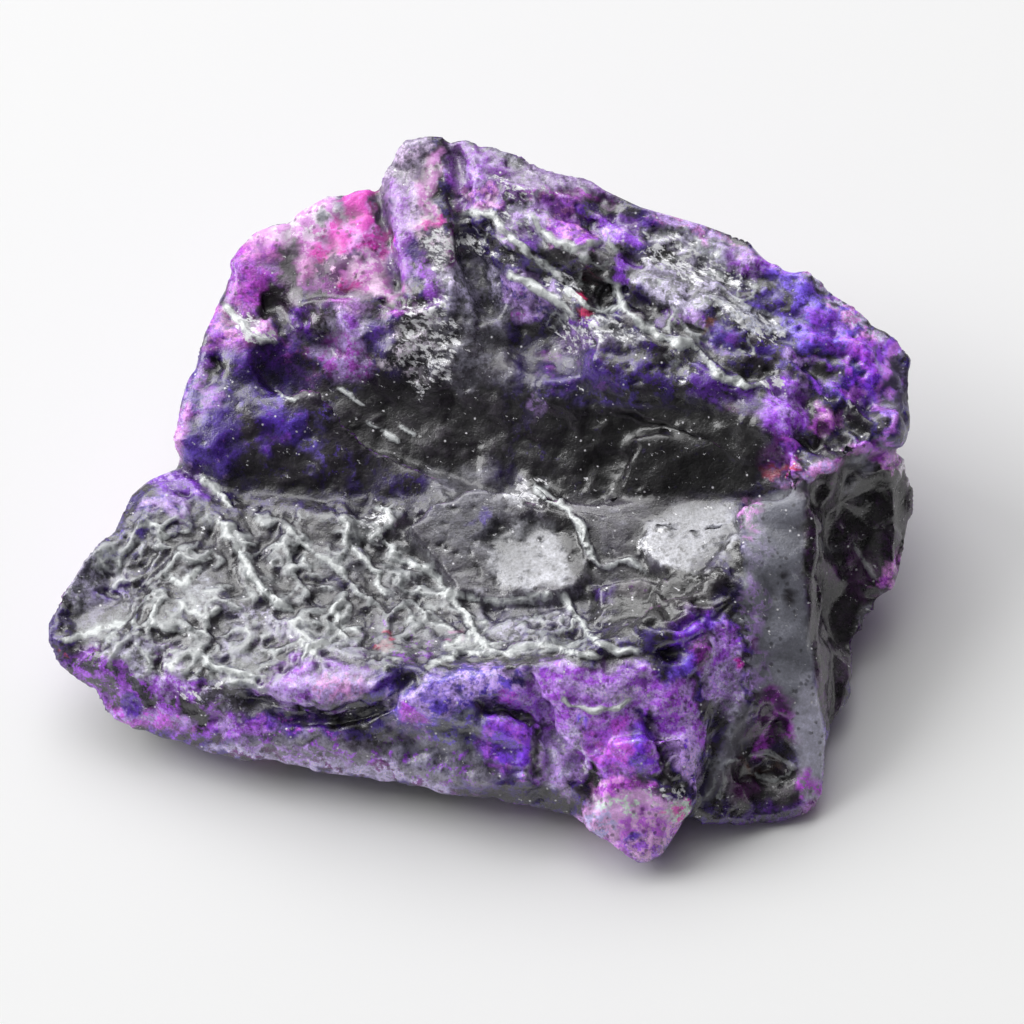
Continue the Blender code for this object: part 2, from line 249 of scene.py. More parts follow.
# %% Soft zones from outlines
def inside_outline(outline):
    """True where a point shows inside this outline."""
    hit = np.zeros(len(points), bool)
    for (x0, y0), (x1, y1) in zip(outline, outline[1:] + outline[:1]):
        crosses = (y0 > seen_y) != (y1 > seen_y)
        if y0 != y1:
            hit ^= crosses & (seen_x < (x1 - x0) * (seen_y - y0) / (y1 - y0) + x0)
    return hit


def from_line(line, shake_x=0, shake_y=0):
    """Distance to a drawn line, the side it lies on, and the share of the line's length, for each point."""
    across, down = seen_x + shake_x, seen_y + shake_y
    best = np.full(len(points), 1e9)
    side = np.zeros(len(points))
    along = np.zeros(len(points))
    lengths = [math.dist(a, b) for a, b in zip(line, line[1:])]
    walked = 0
    for (x0, y0), (x1, y1), length in zip(line, line[1:], lengths):
        dx, dy = (x1 - x0) / length, (y1 - y0) / length
        run = np.clip((across - x0) * dx + (down - y0) * dy, 0, length)
        off_x, off_y = across - x0 - run * dx, down - y0 - run * dy
        away = np.hypot(off_x, off_y)
        closer = away < best
        best = np.where(closer, away, best)
        side = np.where(closer, np.sign(dx * off_y - dy * off_x), side)
        along = np.where(closer, (walked + run) / sum(lengths), along)
        walked += length
    return best, side, along


def zone(outline, softness=12, roughness=9, within=None):
    """1 well inside the outline and 0 well outside it, in front only, or else within the mask given. The edge is
    this many view units soft and rough."""
    away, _, _ = from_line(outline + outline[:1])
    signed = np.where(inside_outline(outline), away, -away) + roughness * lumps(points, 0.9, 77)
    return ramp(signed, -softness, softness) * (facing if within is None else within)


BAND = [(780, 490), (812, 480), (806, 504), (803, 548), (805, 582), (810, 646), (817, 695), (825, 734), (824, 778),
        (818, 800), (802, 800), (797, 763), (791, 734), (784, 711), (768, 700), (757, 690), (754, 675), (753, 636),
        (743, 602), (744, 562), (746, 513), (752, 500)]
NARROW_FACET = [(742, 700), (752, 706), (746, 732), (734, 762), (712, 802), (700, 802), (716, 762), (728, 730)]
HOLLOW = [(806, 504), (835, 470), (880, 452), (912, 470), (920, 520), (908, 560), (868, 640), (846, 690),
          (832, 740), (817, 695), (810, 646), (805, 582), (803, 548)]
TROUGH_FLOOR = [(120, 520), (180, 470), (215, 490), (300, 510), (420, 490), (560, 490), (640, 500), (745, 498),
                (740, 600), (690, 625), (640, 655), (560, 645), (470, 655), (420, 665), (330, 680), (200, 690),
                (110, 665), (50, 640), (56, 600)]
CALM_FLOOR = [(425, 506), (470, 486), (530, 486), (560, 496), (640, 499), (744, 498), (744, 560), (735, 600),
              (690, 625), (640, 615), (590, 600), (500, 605), (460, 590), (430, 555), (410, 525)]
MOSAIC = [(120, 520), (200, 500), (250, 515), (330, 505), (400, 500), (430, 520), (450, 560), (480, 600),
          (560, 600), (600, 620), (590, 655), (480, 660), (400, 668), (300, 665), (260, 690), (190, 680),
          (110, 665), (80, 640), (60, 610), (90, 560)]
TROUGH_WALL = [(240, 420), (330, 380), (420, 385), (500, 350), (560, 370), (700, 400), (770, 420), (765, 490),
               (640, 500), (520, 490), (420, 500), (260, 500)]
WING = [(455, 150), (600, 185), (720, 235), (820, 300), (905, 355), (890, 440), (800, 478), (760, 400),
        (640, 380), (540, 330), (470, 330)]
SMOOTH_RIM = [(430, 130), (600, 185), (700, 222), (640, 222), (560, 200), (480, 175)]


def band():
    """The waxy band and the narrow facet beside it, which have clean edges."""
    return np.maximum(zone(BAND, 4, 2), zone(NARROW_FACET, 4, 2))


in_band = band()
in_hollow = zone(HOLLOW, 4, 2)
in_floor = zone(TROUGH_FLOOR)
in_calm_floor = zone(CALM_FLOOR)
in_mosaic = zone(MOSAIC, 16) * (1 - in_calm_floor)
in_wall = zone(TROUGH_WALL, 16)
in_wing = zone(WING, 14)
in_smooth_rim = zone(SMOOTH_RIM, 12)
print("points on the trough's floor:", int((in_floor > 0.5).sum()))

# %% [markdown]
# ## Relief, from coarse to fine
#
# The relief is one number per point: how far it stands out of the solid, in millimetres. General breakage
# comes first, in three sizes, each half as wide and about half as high as the last. The waxy band and the hollow
# stay nearly smooth, as on glass.

# %% General breakage
BREAKAGE = [(0.09, 1.7, 11), (0.055, 0.85, 12), (0.028, 0.42, 13)]  # height and width in mm, and seed
LEAST_BROKEN = 0.06
smoother = 0.9 * np.maximum(in_band, in_hollow) + 0.6 * in_wall + 0.5 * in_smooth_rim + 0.75 * in_calm_floor
rough = np.clip(1 - smoother, LEAST_BROKEN, 1)
relief = np.zeros(len(points))
for height, width, seed in BREAKAGE:
    relief += height * rough * lumps(bent, width, seed)
print("breakage from", round(relief.min(), 2), "to", round(relief.max(), 2), "mm")

# %% [markdown]
# The back wing broke in long thin ledges that run down to the right. Noise stretched along them makes streaks,
# and a saw-tooth across them makes the little steps that catch the light.

# %% Ledges of the back wing
LEDGE_FALL = math.radians(30)
LEDGE_SPACING = 1.15  # mm
SLOW_RISE = 0.8  # share of a ledge's width that rises, before it drops
along_ledges = np.array((math.cos(LEDGE_FALL), -math.sin(LEDGE_FALL), 0))
across_ledges = np.cross((0, 0, 1), along_ledges)
LONG_AND_THIN = np.array((1 / 3.2, 1 / 0.62, 1 / 0.62))  # streaks 3.2 mm long and 0.62 mm wide
ledge_frame = np.stack((bent @ along_ledges, bent @ across_ledges, bent[:, 2]), axis=1) * LONG_AND_THIN
climb = bent @ across_ledges / LEDGE_SPACING + 0.8 * lumps(points, 3.0, 21) + 0.35 * lumps(points, 1.1, 22)
saw = climb % 1
saw = np.where(saw < SLOW_RISE, saw / SLOW_RISE, (1 - saw) / (1 - SLOW_RISE))
ledge_strength = np.clip(0.55 + lumps(points, 2.4, 23), 0, 1)
relief += in_wing * (0.10 * lumps(ledge_frame, 1, 24) + 0.09 * ledge_strength * (saw - 0.5))
relief += in_smooth_rim * 0.05 * lumps(ledge_frame, 1, 25)
print("ledged points:", int((in_wing > 0.5).sum()))

# %% [markdown]
# The front slope is fibrous: fine grooves run down it to the left. They are the same stretched noise, turned.

# %% Fibres of the front slope
FRONT_SLOPE = [(100, 660), (200, 680), (280, 660), (400, 668), (440, 655), (640, 655), (745, 620), (745, 700),
               (700, 790), (580, 800), (480, 790), (200, 750), (110, 720)]
FIBRE_FALL = math.radians(-38)
in_slope = zone(FRONT_SLOPE, 10)
along_fibres = np.array((math.cos(FIBRE_FALL), 0, -math.sin(FIBRE_FALL)))
across_fibres = np.array((math.sin(FIBRE_FALL), 0, math.cos(FIBRE_FALL)))
LENGTH, DEPTH_IN, WIDTH = 1.6, 0.8, 0.28  # of a fibre, mm
fibre_frame = np.stack(
    (bent @ along_fibres / LENGTH, bent[:, 1] / DEPTH_IN, bent @ across_fibres / WIDTH), axis=1
)
relief += in_slope * 0.06 * lumps(fibre_frame, 1, 26)
print("fibrous points:", int((in_slope > 0.5).sum()))

# %% [markdown]
# The floor of the trough looks like a skin of varnish that wrinkled as it dried: winding ridges about 0.15 mm
# high stand round shallow dimples. Scattered seeds share the floor out into cells, and the borders between
# the cells are raised. The places are bent by noise first, so the borders wind.

# %% Wrinkles and dimples of the trough's floor
def borders(places, size, seed, width):
    """1 on the borders between cells of this size and 0 inside them, broken off here and there."""
    thickness = width * (1 + 0.8 * lumps(places, size * 0.8, seed + 9))
    kept = ramp(lumps(places, size * 1.3, seed + 7), -0.5, -0.1)
    return (1 - ramp(cells(places, size, seed), thickness * 0.3, thickness * 1.7)) * kept


def winding(places):
    """Winding ridges of the floor's skin, broken off here and there."""
    kept = ramp(lumps(places, 2.2, 40), -0.35, 0.05)
    return np.maximum(wrinkles(places, 1.7, 31, 7), 0.7 * wrinkles(places, 1.0, 32, 6)) * kept


def dimples(places):
    """The shallow dimples that the floor's skin winds round."""
    return ramp(lumps(places, 0.9, 52), 0.10, 0.45)


relief += in_mosaic * 0.13 * (winding(bent) - dimples(bent))
relief += in_mosaic * 0.03 * borders(bent, 0.7, 38, 0.07)
relief += in_mosaic * (0.05 * lumps(bent, 0.6, 33) + 0.045 * lumps(bent, 0.32, 37))
relief += in_wall * (0.03 * lumps(bent, 0.6, 34) + 0.035 * lumps(bent, 0.3, 39))
print("relief from", round(relief.min(), 2), "to", round(relief.max(), 2), "mm")

# %% [markdown]
# The hollow at the right end and the unseen sides broke like glass, in flat facets with crisp arrises between
# them. The distance to the border between two cells rises evenly from the border, so it makes such facets.

# %% Facets of the hollow and of the far sides
FACETS = [  # mask, where it is read, width in mm, seed, slope, and how far in mm the slope goes on from the border
    (in_hollow, points, 2.3, 135, 0.26, 0.7),
    (1 - facing, bent, 5.0, 36, 0.16, 1.2),
]
for mask, read_at, width, seed, slope, halfway in FACETS:
    gap = cells(read_at, width, seed)
    relief += mask * slope * np.clip(gap - halfway, -halfway, halfway)
print("with facets from", round(relief.min(), 2), "to", round(relief.max(), 2), "mm")

# %% [markdown]
# ## Ridges, lips and cracks, drawn one by one
#
# The marks that one would know this stone by are drawn as lines in the view. A ridge is a rounded bead along
# its line. A lip is a step: the side on the right of the line, walking along it, stands proud and falls back
# gently. A crack is a bead turned inwards. Each one tapers to nothing at its ends.

# %% The three kinds of mark
def unsteady_hand(places):
    """How wide and high a drawn mark is at each point, from 0.55 to 1.5, and how far it strays right and down."""
    strays = [3.5 * lumps(places, 0.6, seed) for seed in (44, 45)]
    return np.clip(1 + 0.7 * lumps(places, 0.7, 43), 0.55, 1.5), *strays


uneven, shake_x, shake_y = unsteady_hand(points)


def bead(line, width, height):
    """A rounded, uneven ridge of this half width in view units and this height in mm."""
    away, _, along = from_line(line, shake_x, shake_y)
    taper = np.clip(np.minimum(along, 1 - along) * 8, 0.15, 1)
    return height * taper * facing * uneven * np.exp(-((away / (width * uneven)) ** 2))


def lip(line, width, height, reach):
    """A step up across the line, falling back to nothing over this reach in view units."""
    away, side, along = from_line(line)
    taper = np.clip(np.minimum(along, 1 - along) * 6, 0.1, 1)
    signed = away * side
    rise = ramp(signed, -width, width)
    return height * taper * facing * rise * np.exp(-np.clip(signed, 0, None) / reach)


RIDGES = [  # half width in view units, height in mm, and line
    (5.5, 0.22, [(463, 214), (478, 211), (494, 214), (501, 226), (512, 240), (526, 253), (545, 264), (560, 270)]),
    (5.5, 0.22, [(528, 210), (537, 224), (547, 238), (561, 246), (580, 248), (602, 241)]),
    (6.5, 0.26, [(607, 281), (618, 288), (620, 303), (632, 318), (650, 331), (668, 338), (690, 345), (704, 357),
                 (715, 370), (730, 382), (746, 385), (764, 382)]),
    (4.5, 0.18, [(552, 266), (560, 277), (571, 291), (585, 305), (600, 311), (617, 306)]),
    (5.0, 0.14, [(505, 270), (526, 280), (546, 296), (566, 309), (578, 322)]),
    (4.5, 0.16, [(222, 303), (231, 313), (243, 322), (250, 333), (262, 341), (276, 344)]),
    (2.8, 0.07, [(274, 391), (286, 396), (296, 402)]),
    (2.6, 0.06, [(338, 388), (350, 394), (366, 406)]),
    (2.6, 0.06, [(368, 422), (384, 430), (400, 444)]),
    (2.4, 0.05, [(398, 426), (412, 434), (416, 440)]),
    (4.5, 0.20, [(198, 476), (212, 486), (224, 497), (232, 506)]),
    (5.5, 0.24, [(212, 518), (227, 527), (235, 544), (245, 559), (252, 575), (262, 590), (276, 602), (300, 612)]),
    (4.5, 0.18, [(284, 524), (300, 540), (316, 552), (336, 566), (346, 582)]),
    (4.5, 0.18, [(338, 515), (347, 522), (350, 532), (342, 542)]),
    (4.5, 0.18, [(372, 505), (384, 508), (392, 520), (386, 530)]),
    (4.5, 0.20, [(362, 536), (378, 536), (392, 546), (396, 560)]),
    (4.5, 0.20, [(352, 547), (366, 560), (376, 573), (377, 588), (390, 596)]),
    (5.0, 0.24, [(392, 562), (408, 561), (426, 569), (440, 580), (448, 595), (460, 607), (470, 622), (476, 638),
                 (488, 648), (505, 651)]),
    (4.5, 0.18, [(428, 668), (444, 658), (462, 652), (484, 652), (508, 652), (534, 645), (558, 638)]),
    (4.5, 0.20, [(448, 590), (462, 594), (486, 600), (510, 602), (536, 598), (560, 590)]),
    (4.5, 0.20, [(560, 592), (570, 606), (580, 622), (592, 638), (606, 648), (622, 652), (640, 652)]),
    (4.0, 0.18, [(540, 640), (556, 650), (580, 655), (604, 655)]),
    (5.0, 0.30, [(530, 478), (541, 490), (553, 499), (567, 508), (577, 522), (583, 540), (590, 556), (600, 565),
                 (616, 566), (630, 562), (646, 570)]),
    (4.5, 0.18, [(200, 654), (213, 666), (232, 672), (256, 678)]),
    (5.0, 0.16, [(60, 642), (86, 632), (110, 626), (128, 618)]),
    (4.0, 0.16, [(296, 640), (312, 648), (328, 642), (344, 630), (362, 624)]),
    (4.0, 0.16, [(345, 598), (334, 610), (338, 624), (352, 632)]),
    (4.5, 0.18, [(168, 575), (180, 584), (192, 578), (204, 570)]),
    (4.0, 0.15, [(176, 600), (190, 612), (206, 616), (222, 606)]),
    (4.5, 0.16, [(134, 527), (148, 523), (160, 528), (166, 540)]),
    (4.0, 0.15, [(560, 700), (576, 706), (594, 712), (618, 708), (634, 698)]),
]
FAINT_RIDGES = [
    (3.0, 0.10, [(746, 760), (752, 752), (764, 752), (780, 760), (794, 770), (784, 778), (768, 780), (752, 772)]),
    (3.0, 0.10, [(742, 758), (728, 764), (716, 778), (706, 800)]),
    (3.0, 0.10, [(728, 764), (722, 784), (716, 802)]),
    (3.5, 0.10, [(852, 540), (862, 556), (872, 574), (882, 588)]),
]
LIPS = [  # width of the step in view units, height in mm, reach in view units, and line
    (3.5, 0.26, 26, [(630, 626), (652, 624), (680, 619), (704, 610), (728, 597), (736, 590)]),
    (3.0, 0.26, 22, [(398, 686), (386, 700), (362, 710), (330, 714), (296, 714), (262, 708)]),
    (3.5, 0.34, 34, [(478, 706), (500, 709), (524, 716), (540, 730), (543, 752), (538, 776), (530, 790)]),
    (3.5, 0.26, 26, [(648, 240), (680, 236), (712, 242), (742, 252)]),
    (3.5, 0.24, 26, [(690, 290), (722, 302), (748, 318), (780, 338)]),
    (3.5, 0.24, 30, [(500, 180), (520, 186), (545, 190)]),
    (3.5, 0.24, 30, [(800, 330), (830, 338), (856, 340), (880, 352)]),
    (3.5, 0.26, 26, [(300, 302), (320, 300), (345, 300), (362, 300)]),
]
CRACKS = [  # half width in view units, depth in mm, and line
    (3.5, 0.16, [(374, 176), (379, 196), (381, 220), (388, 240), (396, 262)]),
    (5.0, 0.15, [(434, 160), (442, 180), (450, 200), (457, 220), (461, 240), (466, 268), (472, 292)]),
    (4.0, 0.28, [(378, 301), (400, 305), (424, 305), (436, 304)]),
    (5.0, 0.30, [(527, 668), (535, 690), (544, 712), (555, 732), (570, 752), (584, 774), (598, 796)]),
    (5.0, 0.36, [(482, 708), (504, 712), (526, 722), (538, 740), (536, 764), (528, 786)]),
    (4.5, 0.30, [(574, 752), (590, 762), (599, 776), (602, 790)]),
    (5.0, 0.30, [(634, 706), (646, 718), (658, 732), (664, 748), (676, 762)]),
    (5.0, 0.30, [(660, 756), (664, 772), (676, 786)]),
    (4.0, 0.26, [(402, 688), (388, 706), (360, 718), (326, 721), (290, 720), (262, 715)]),
    (5.0, 0.26, [(640, 622), (664, 626), (690, 622), (712, 612)]),
    (9.0, 0.45, [(600, 288), (606, 300), (598, 308)]),
    (7.0, 0.30, [(836, 405), (850, 425), (868, 440)]),
    (7.0, 0.35, [(792, 430), (806, 444), (826, 448)]),
    (8.0, 0.35, [(262, 292), (268, 306), (262, 318)]),
    (9.0, 0.30, [(214, 368), (222, 366)]),
    (6.0, 0.25, [(312, 304), (306, 318), (300, 334)]),
    (3.5, 0.20, [(536, 484), (548, 500), (562, 514), (572, 530), (578, 548), (586, 564)]),
    (3.0, 0.16, [(662, 626), (690, 628), (716, 616), (736, 598)]),
    (8.0, 0.25, [(732, 780), (750, 776), (770, 774), (786, 784)]),
    (10.0, 0.30, [(760, 712), (776, 718), (782, 732)]),
]
THINNER = 0.56  # the ridges are drawn as wide as they look with their shine
for width, height, line in RIDGES + FAINT_RIDGES:
    relief += bead(line, width * THINNER, height)
for width, height, reach, line in LIPS:
    relief += lip(line, width, height, reach)
VEINED = [(470, 205), (540, 215), (640, 225), (760, 260), (800, 330), (790, 375), (700, 385), (620, 350),
          (540, 330), (470, 260)]


def veins(places):
    """Fine winding veins on the back wing, in patches."""
    kept = zone(VEINED, 14) * ramp(lumps(places, 1.6, 46), -0.1, 0.3)
    return kept * np.maximum(wrinkles(places, 1.3, 47, 7), wrinkles(places, 0.9, 48, 6))


relief += 0.08 * veins(bent)
CHIPPED = [(400, 300), (450, 290), (470, 330), (462, 390), (420, 392), (390, 360), (398, 330)]
relief += 0.10 * zone(CHIPPED, 14) * ramp(lumps(points, 0.5, 51), 0.05, 0.2)
for width, depth, line in CRACKS:
    relief -= bead(line, width, depth)
print(len(RIDGES + FAINT_RIDGES), "ridges,", len(LIPS), "lips,", len(CRACKS), "cracks")

# %% [markdown]
# Pits are small and round, and they come in crowds. The lumps' highest tops, cut off and turned inwards, give
# such a crowd without placing each one.

# %% Pits, and where the relief takes each point
PITS = [(0.16, 0.55, 41, 0.42), (0.10, 0.36, 42, 0.45)]  # depth, width in mm, seed, and where a pit starts
FLAT_BOTTOM = 0.75
pitted = np.clip(in_wing + 0.7 * in_floor + 0.3, 0, 1) * (1 - in_band) * (1 - in_hollow)
for depth, width, seed, edge in PITS:
    relief -= depth * pitted * ramp(lumps(points, width, seed), edge, FLAT_BOTTOM)
places = points + normals * relief[:, None]
print("relief from", round(relief.min(), 2), "to", round(relief.max(), 2), "mm")

# %% [markdown]
# The trough's wall rises from the floor's back edge without a gully. So what lies lower there than the floor,
# carried on at its slope and then a little steeper, is filled, and the fill is made lumpy like the rest.

# %% The wall's foot, filled
TO_CEILING = (0.05, 0.20)  # slopes to the right and to the back
FLOOR_MIDDLE = (4.7, -2.4, 5.35)  # mm
FOOT_OF_WALL = [(560, 470), (600, 440), (752, 440), (750, 545), (640, 545), (560, 540)]
FLOOR_ENDS = -0.1  # mm towards the back, where the foot starts
FOOT_STEEPER = 0.7
ROUNDED = 0.3  # mm, the corner between the fill and what stands over it
DEEPEST, DEEPER = 1.3, 1.7  # mm below the floor, from where on a point is part of the underside
over = places - np.array(FLOOR_MIDDLE)
floor_height = FLOOR_MIDDLE[2] + TO_CEILING[0] * over[:, 0] + TO_CEILING[1] * over[:, 1]
floor_height += FOOT_STEEPER * np.clip(places[:, 1] - FLOOR_ENDS, 0, None)
missing = floor_height - places[:, 2]
not_beneath = 1 - ramp(missing, DEEPEST, DEEPER)
filled = np.clip(0.5 * (missing + np.hypot(missing, ROUNDED)), 0, DEEPEST) * zone(FOOT_OF_WALL, 22, 3, not_beneath)
filled *= ramp(seen_x, 540, 670)
places[:, 2] += filled * (1 + 0.12 * lumps(points, 0.9, 53) + 0.05 * lumps(points, 0.35, 54))
print("the wall's foot filled by up to", round(float(filled.max()), 2), "mm")

# %% [markdown]
# Here and there the wet floor is an even facet that mirrors the window as one white patch, and between them
# it leans a little to the front and stays grey. Such a facet is made by moving the skin towards a plane of the
# right slope. A plane that leans 6 degrees left and 4 degrees back mirrors the window. Each outline is where the
# facet shows once it is moved, so the mask is read where the plane shows, and what stands well above the plane
# stays.

# %% Even facets of the floor
TO_WINDOW = (0.109, -0.066)
TO_FRONT = (0.02, 0.34)
MOST_LOWERED, MOST_RAISED = 0.5, 1.1  # mm
EVEN_FACETS = [  # outline, slope, middle, how fully it is flattened, and softness of its edge
    (CALM_FLOOR, TO_CEILING, FLOOR_MIDDLE, 0.9, 5),
    ([(590, 575), (640, 572), (735, 580), (725, 600), (690, 620), (650, 628), (600, 612)], TO_FRONT, None, 0.7, 7),
    ([(640, 540), (646, 524), (662, 512), (676, 503), (700, 499), (730, 499), (742, 506), (745, 522), (738, 540),
      (722, 552), (712, 566), (694, 582), (674, 572), (652, 562)], TO_WINDOW, None, 1.0, 4),
    ([(482, 542), (500, 530), (520, 534), (536, 524), (560, 528), (576, 540), (586, 556), (590, 574), (576, 588),
      (545, 594), (512, 592), (498, 576), (496, 556)], TO_WINDOW, None, 0.9, 7),
    ([(513, 498), (521, 487), (538, 484), (550, 502), (541, 513), (526, 510)], TO_WINDOW, None, 0.9, 4),
    ([(655, 590), (666, 600), (684, 613), (670, 624), (660, 612)], TO_WINDOW, None, 0.9, 3),
    ([(70, 618), (128, 606), (132, 622), (84, 640)], TO_WINDOW, None, 0.85, 5),
    ([(166, 588), (186, 574), (218, 572), (226, 590), (214, 612), (178, 622)], TO_WINDOW, None, 0.6, 6),
    ([(308, 545), (335, 558), (352, 580), (338, 596), (318, 572)], TO_CEILING, None, 0.7, 5),
]
for outline, (slope_right, slope_back), middle, strength, softness in EVEN_FACETS:
    if middle is None:
        seen_x, seen_y = where_seen(places)
        middle = places[zone(outline, softness, 5) > 0.5].mean(0)
    plane = middle[2] + slope_right * (places[:, 0] - middle[0]) + slope_back * (places[:, 1] - middle[1])
    seen_x, seen_y = where_seen(np.column_stack((places[:, :2], plane)))
    above = places[:, 2] - plane
    on_floor = (1 - ramp(above, 0.4, 0.9)) * (1 - ramp(-above, DEEPEST, DEEPER))
    mask = zone(outline, softness, 5, on_floor) * strength
    places[:, 2] -= np.clip(above, -MOST_RAISED, MOST_LOWERED) * mask
    print("facet at", [round(float(c), 1) for c in middle], "made of", int((mask > 0.5).sum()), "points")

# %% [markdown]
# The even floor has lost the ridges and cracks drawn on it, so they are added again there, with fine pits. The
# wing's top edge is one even curve, and what stands above it is brought down to it.

# %% Marks on the even floor, and the wing's top edge
TOP_EDGE = [(476, 138), (510, 144), (548, 158), (580, 173), (604, 190), (640, 207), (700, 224), (744, 240)]
AGAIN = 0.8  # share of a mark's height that is added again
FINE_PIT = 0.10  # mm
MOST_TOO_HIGH = 14  # view units
seen_x, seen_y = where_seen(places)
marks = sum(bead(line, width * THINNER, height) for width, height, line in RIDGES)
marks -= sum(bead(line, width, depth) for width, depth, line in CRACKS)
places += normals * (AGAIN * zone(CALM_FLOOR, 5, 5) * marks)[:, None]
pits = in_calm_floor * ramp(lumps(points, 0.34, 49), 0.38, 0.7) + 0.25 * in_calm_floor * lumps(bent, 0.5, 50)
places -= normals * FINE_PIT * pits[:, None]
line_x, line_y = np.array(TOP_EDGE).T
now_x, now_y = where_seen(places)
too_high = np.interp(now_x, line_x, line_y) - now_y
too_high = np.where((now_x > line_x[0]) & (now_x < line_x[-1]), np.clip(too_high, 0, MOST_TOO_HIGH), 0)
places[:, 2] -= too_high / UNITS_PER_MM / VIEW_UP[2]
print("the wing's top edge lowered by up to", round(float(too_high.max()) / UNITS_PER_MM, 2), "mm")

# %% [markdown]
# Now the skin itself is moved. The flat spot under the stone stays where it is, and nothing leaves the solid's
# own box. Where the gully was filled the skin is folded, so it is ironed there by a Smooth modifier that works
# on one vertex group.

# %% The skin moved, and ironed where the gully was
def move_points(mesh, places):
    """Puts the mesh's points at these places in mm, kept inside the solid's own box."""
    low, high = np.array(solid_box[0]), np.array(solid_box[1])
    mesh.vertices.foreach_set("co", np.clip(places * MM, low, high).ravel())
    mesh.update()


FORMER_GULLY = [(565, 498), (746, 497), (748, 532), (565, 528)]
IRONING_ROUNDS = 12
underside = ramp(-normals[:, 2], 0.75, 0.95)[:, None]
move_points(stone.data, places * (1 - underside) + points * underside)
seen_x, seen_y = where_seen(places)
close = 1 - ramp(np.abs(floor_height - places[:, 2]), 0.5, 0.8)
folded = np.flatnonzero(zone(FORMER_GULLY, 5, 0, close) > 0.4)
group = stone.vertex_groups.new(name="folded")
group.add([int(number) for number in folded], 1.0, "REPLACE")
smooth(stone, "ironed", IRONING_ROUNDS, "folded")
stone.vertex_groups.clear()
print("ironed", len(folded), "points where the gully was")

# %% [markdown]
# ## Fewer triangles where nobody looks
#
# The even skin spends as much on the flat underside as on the wrinkles. A collapse takes triangles away,
# flattest first, until the stone is light enough to share. Then each point's place in the view is read again.

# %% The collapse, and smooth shading
MOST_TRIANGLES = 196000
stone.data.calc_loop_triangles()
triangles = len(stone.data.loop_triangles)
pick_only(stone)
if triangles > MOST_TRIANGLES:
    fewer = stone.modifiers.new("fewer", "DECIMATE")
    fewer.ratio = MOST_TRIANGLES / triangles
    bpy.ops.object.modifier_apply(modifier="fewer")
bpy.ops.object.shade_smooth()
print("triangles:", triangles, "before,", len(stone.data.polygons), "faces now")
points, normals = read_points(stone.data)
seen_x, seen_y = where_seen(points)
facing = ramp(normals @ TO_VIEW, -0.1, 0.2)
close = 1 - ramp(np.abs(points[:, 2] - FLOOR_MIDDLE[2]), 0.8, 1.2)
facing = np.maximum(facing, zone(FORMER_GULLY, 5, 0, close))
bent = bend(points)
uneven, shake_x, shake_y = unsteady_hand(points)

# %% [markdown]
# Recesses get painted shade and crests painted light further on: their colours are made darker and paler
# where shade and light would fall. Moving each point to the middle of its neighbours a few times smooths the
# skin, and how far a point lies below that smoothed skin says how deep in a recess it is.

# %% Recesses and crests
AVERAGING_ROUNDS = 14
ends = np.empty(len(stone.data.edges) * 2, int)
stone.data.edges.foreach_get("vertices", ends)
ends = ends.reshape(-1, 2)
one_way, back = ends[:, 0], ends[:, 1]
neighbours = np.bincount(ends.ravel(), minlength=len(points))
averaged = points.copy()
for _ in range(AVERAGING_ROUNDS):
    for axis in range(3):
        along_axis = averaged[:, axis]
        total = np.bincount(one_way, along_axis[back], len(points))
        total += np.bincount(back, along_axis[one_way], len(points))
        averaged[:, axis] = total / neighbours
depth = ((averaged - points) * normals).sum(1)
print("depth below the averaged skin, mm:", [round(float(q), 3) for q in np.percentile(depth, (5, 50, 95))])

# %% [markdown]
# ## Colours
#
# Colours are picked as sRGB hex, as a paint program shows them, and turned to the linear values that light is
# counted in. The palette runs from the near black of the trough's wall to the white of the sugary grains.

# %% The palette
def linear(hex_colour):
    """The linear red, green and blue of an sRGB colour such as 8040c0."""
    parts = [int(hex_colour[i:i + 2], 16) / 255 for i in (0, 2, 4)]
    return np.array([c / 12.92 if c <= 0.04045 else ((c + 0.055) / 1.055) ** 2.4 for c in parts])


NIGHT = "120d15"
SOOT = "241e28"
CHARCOAL = "3d3944"
SMOKE = "5f5d69"
SLATE = "7b7c88"
PALE_SLATE = "9a9ba6"
# painted reflection of the window on the wet floor
PAINTED_REFLECTION_SILVER = "a4a4ac"
INDIGO = "2e1860"
BLUE_VIOLET = "50379a"
VIOLET = "6f35ac"
DEEP_VIOLET = "4a1f8a"
PURPLE = "9048bf"
LAVENDER = "ab8bcf"
PALE_LAVENDER = "cfc2e4"
MAGENTA = "ac4cc6"
HOT_PINK = "d83cb8"
PINK = "cc88d2"
SUGAR = "e8dcee"
PLUM = "561e62"
DARK_PLUM = "30143a"
LILAC_GREY = "9c95b2"
ROSE = "b8285c"
RUST = "5a2c1c"
print("violet is", linear(VIOLET).round(3), "in linear light")

# %% [markdown]
# Each point gets two colours, a ground and a fleck, and the share of flecks. The shader later breaks the two
# up with fine noise, which gives crisp mineral grains instead of soft paint. Round the back, where the view
# doesn't reach, broad noise chooses between the same colours.

# %% Two colours for every point
ground = np.tile(linear(VIOLET), (len(points), 1))
fleck = np.tile(linear(SOOT), (len(points), 1))
share = np.full(len(points), 0.45)


def lay(mask, ground_colour, fleck_colour, fleck_share=0.5):
    """Lays a ground, its flecks and their share over the points of this mask."""
    keep = mask[:, None]
    ground[:] = ground * (1 - keep) + linear(ground_colour) * keep
    fleck[:] = fleck * (1 - keep) + linear(fleck_colour) * keep
    share[:] = share * (1 - mask) + fleck_share * mask


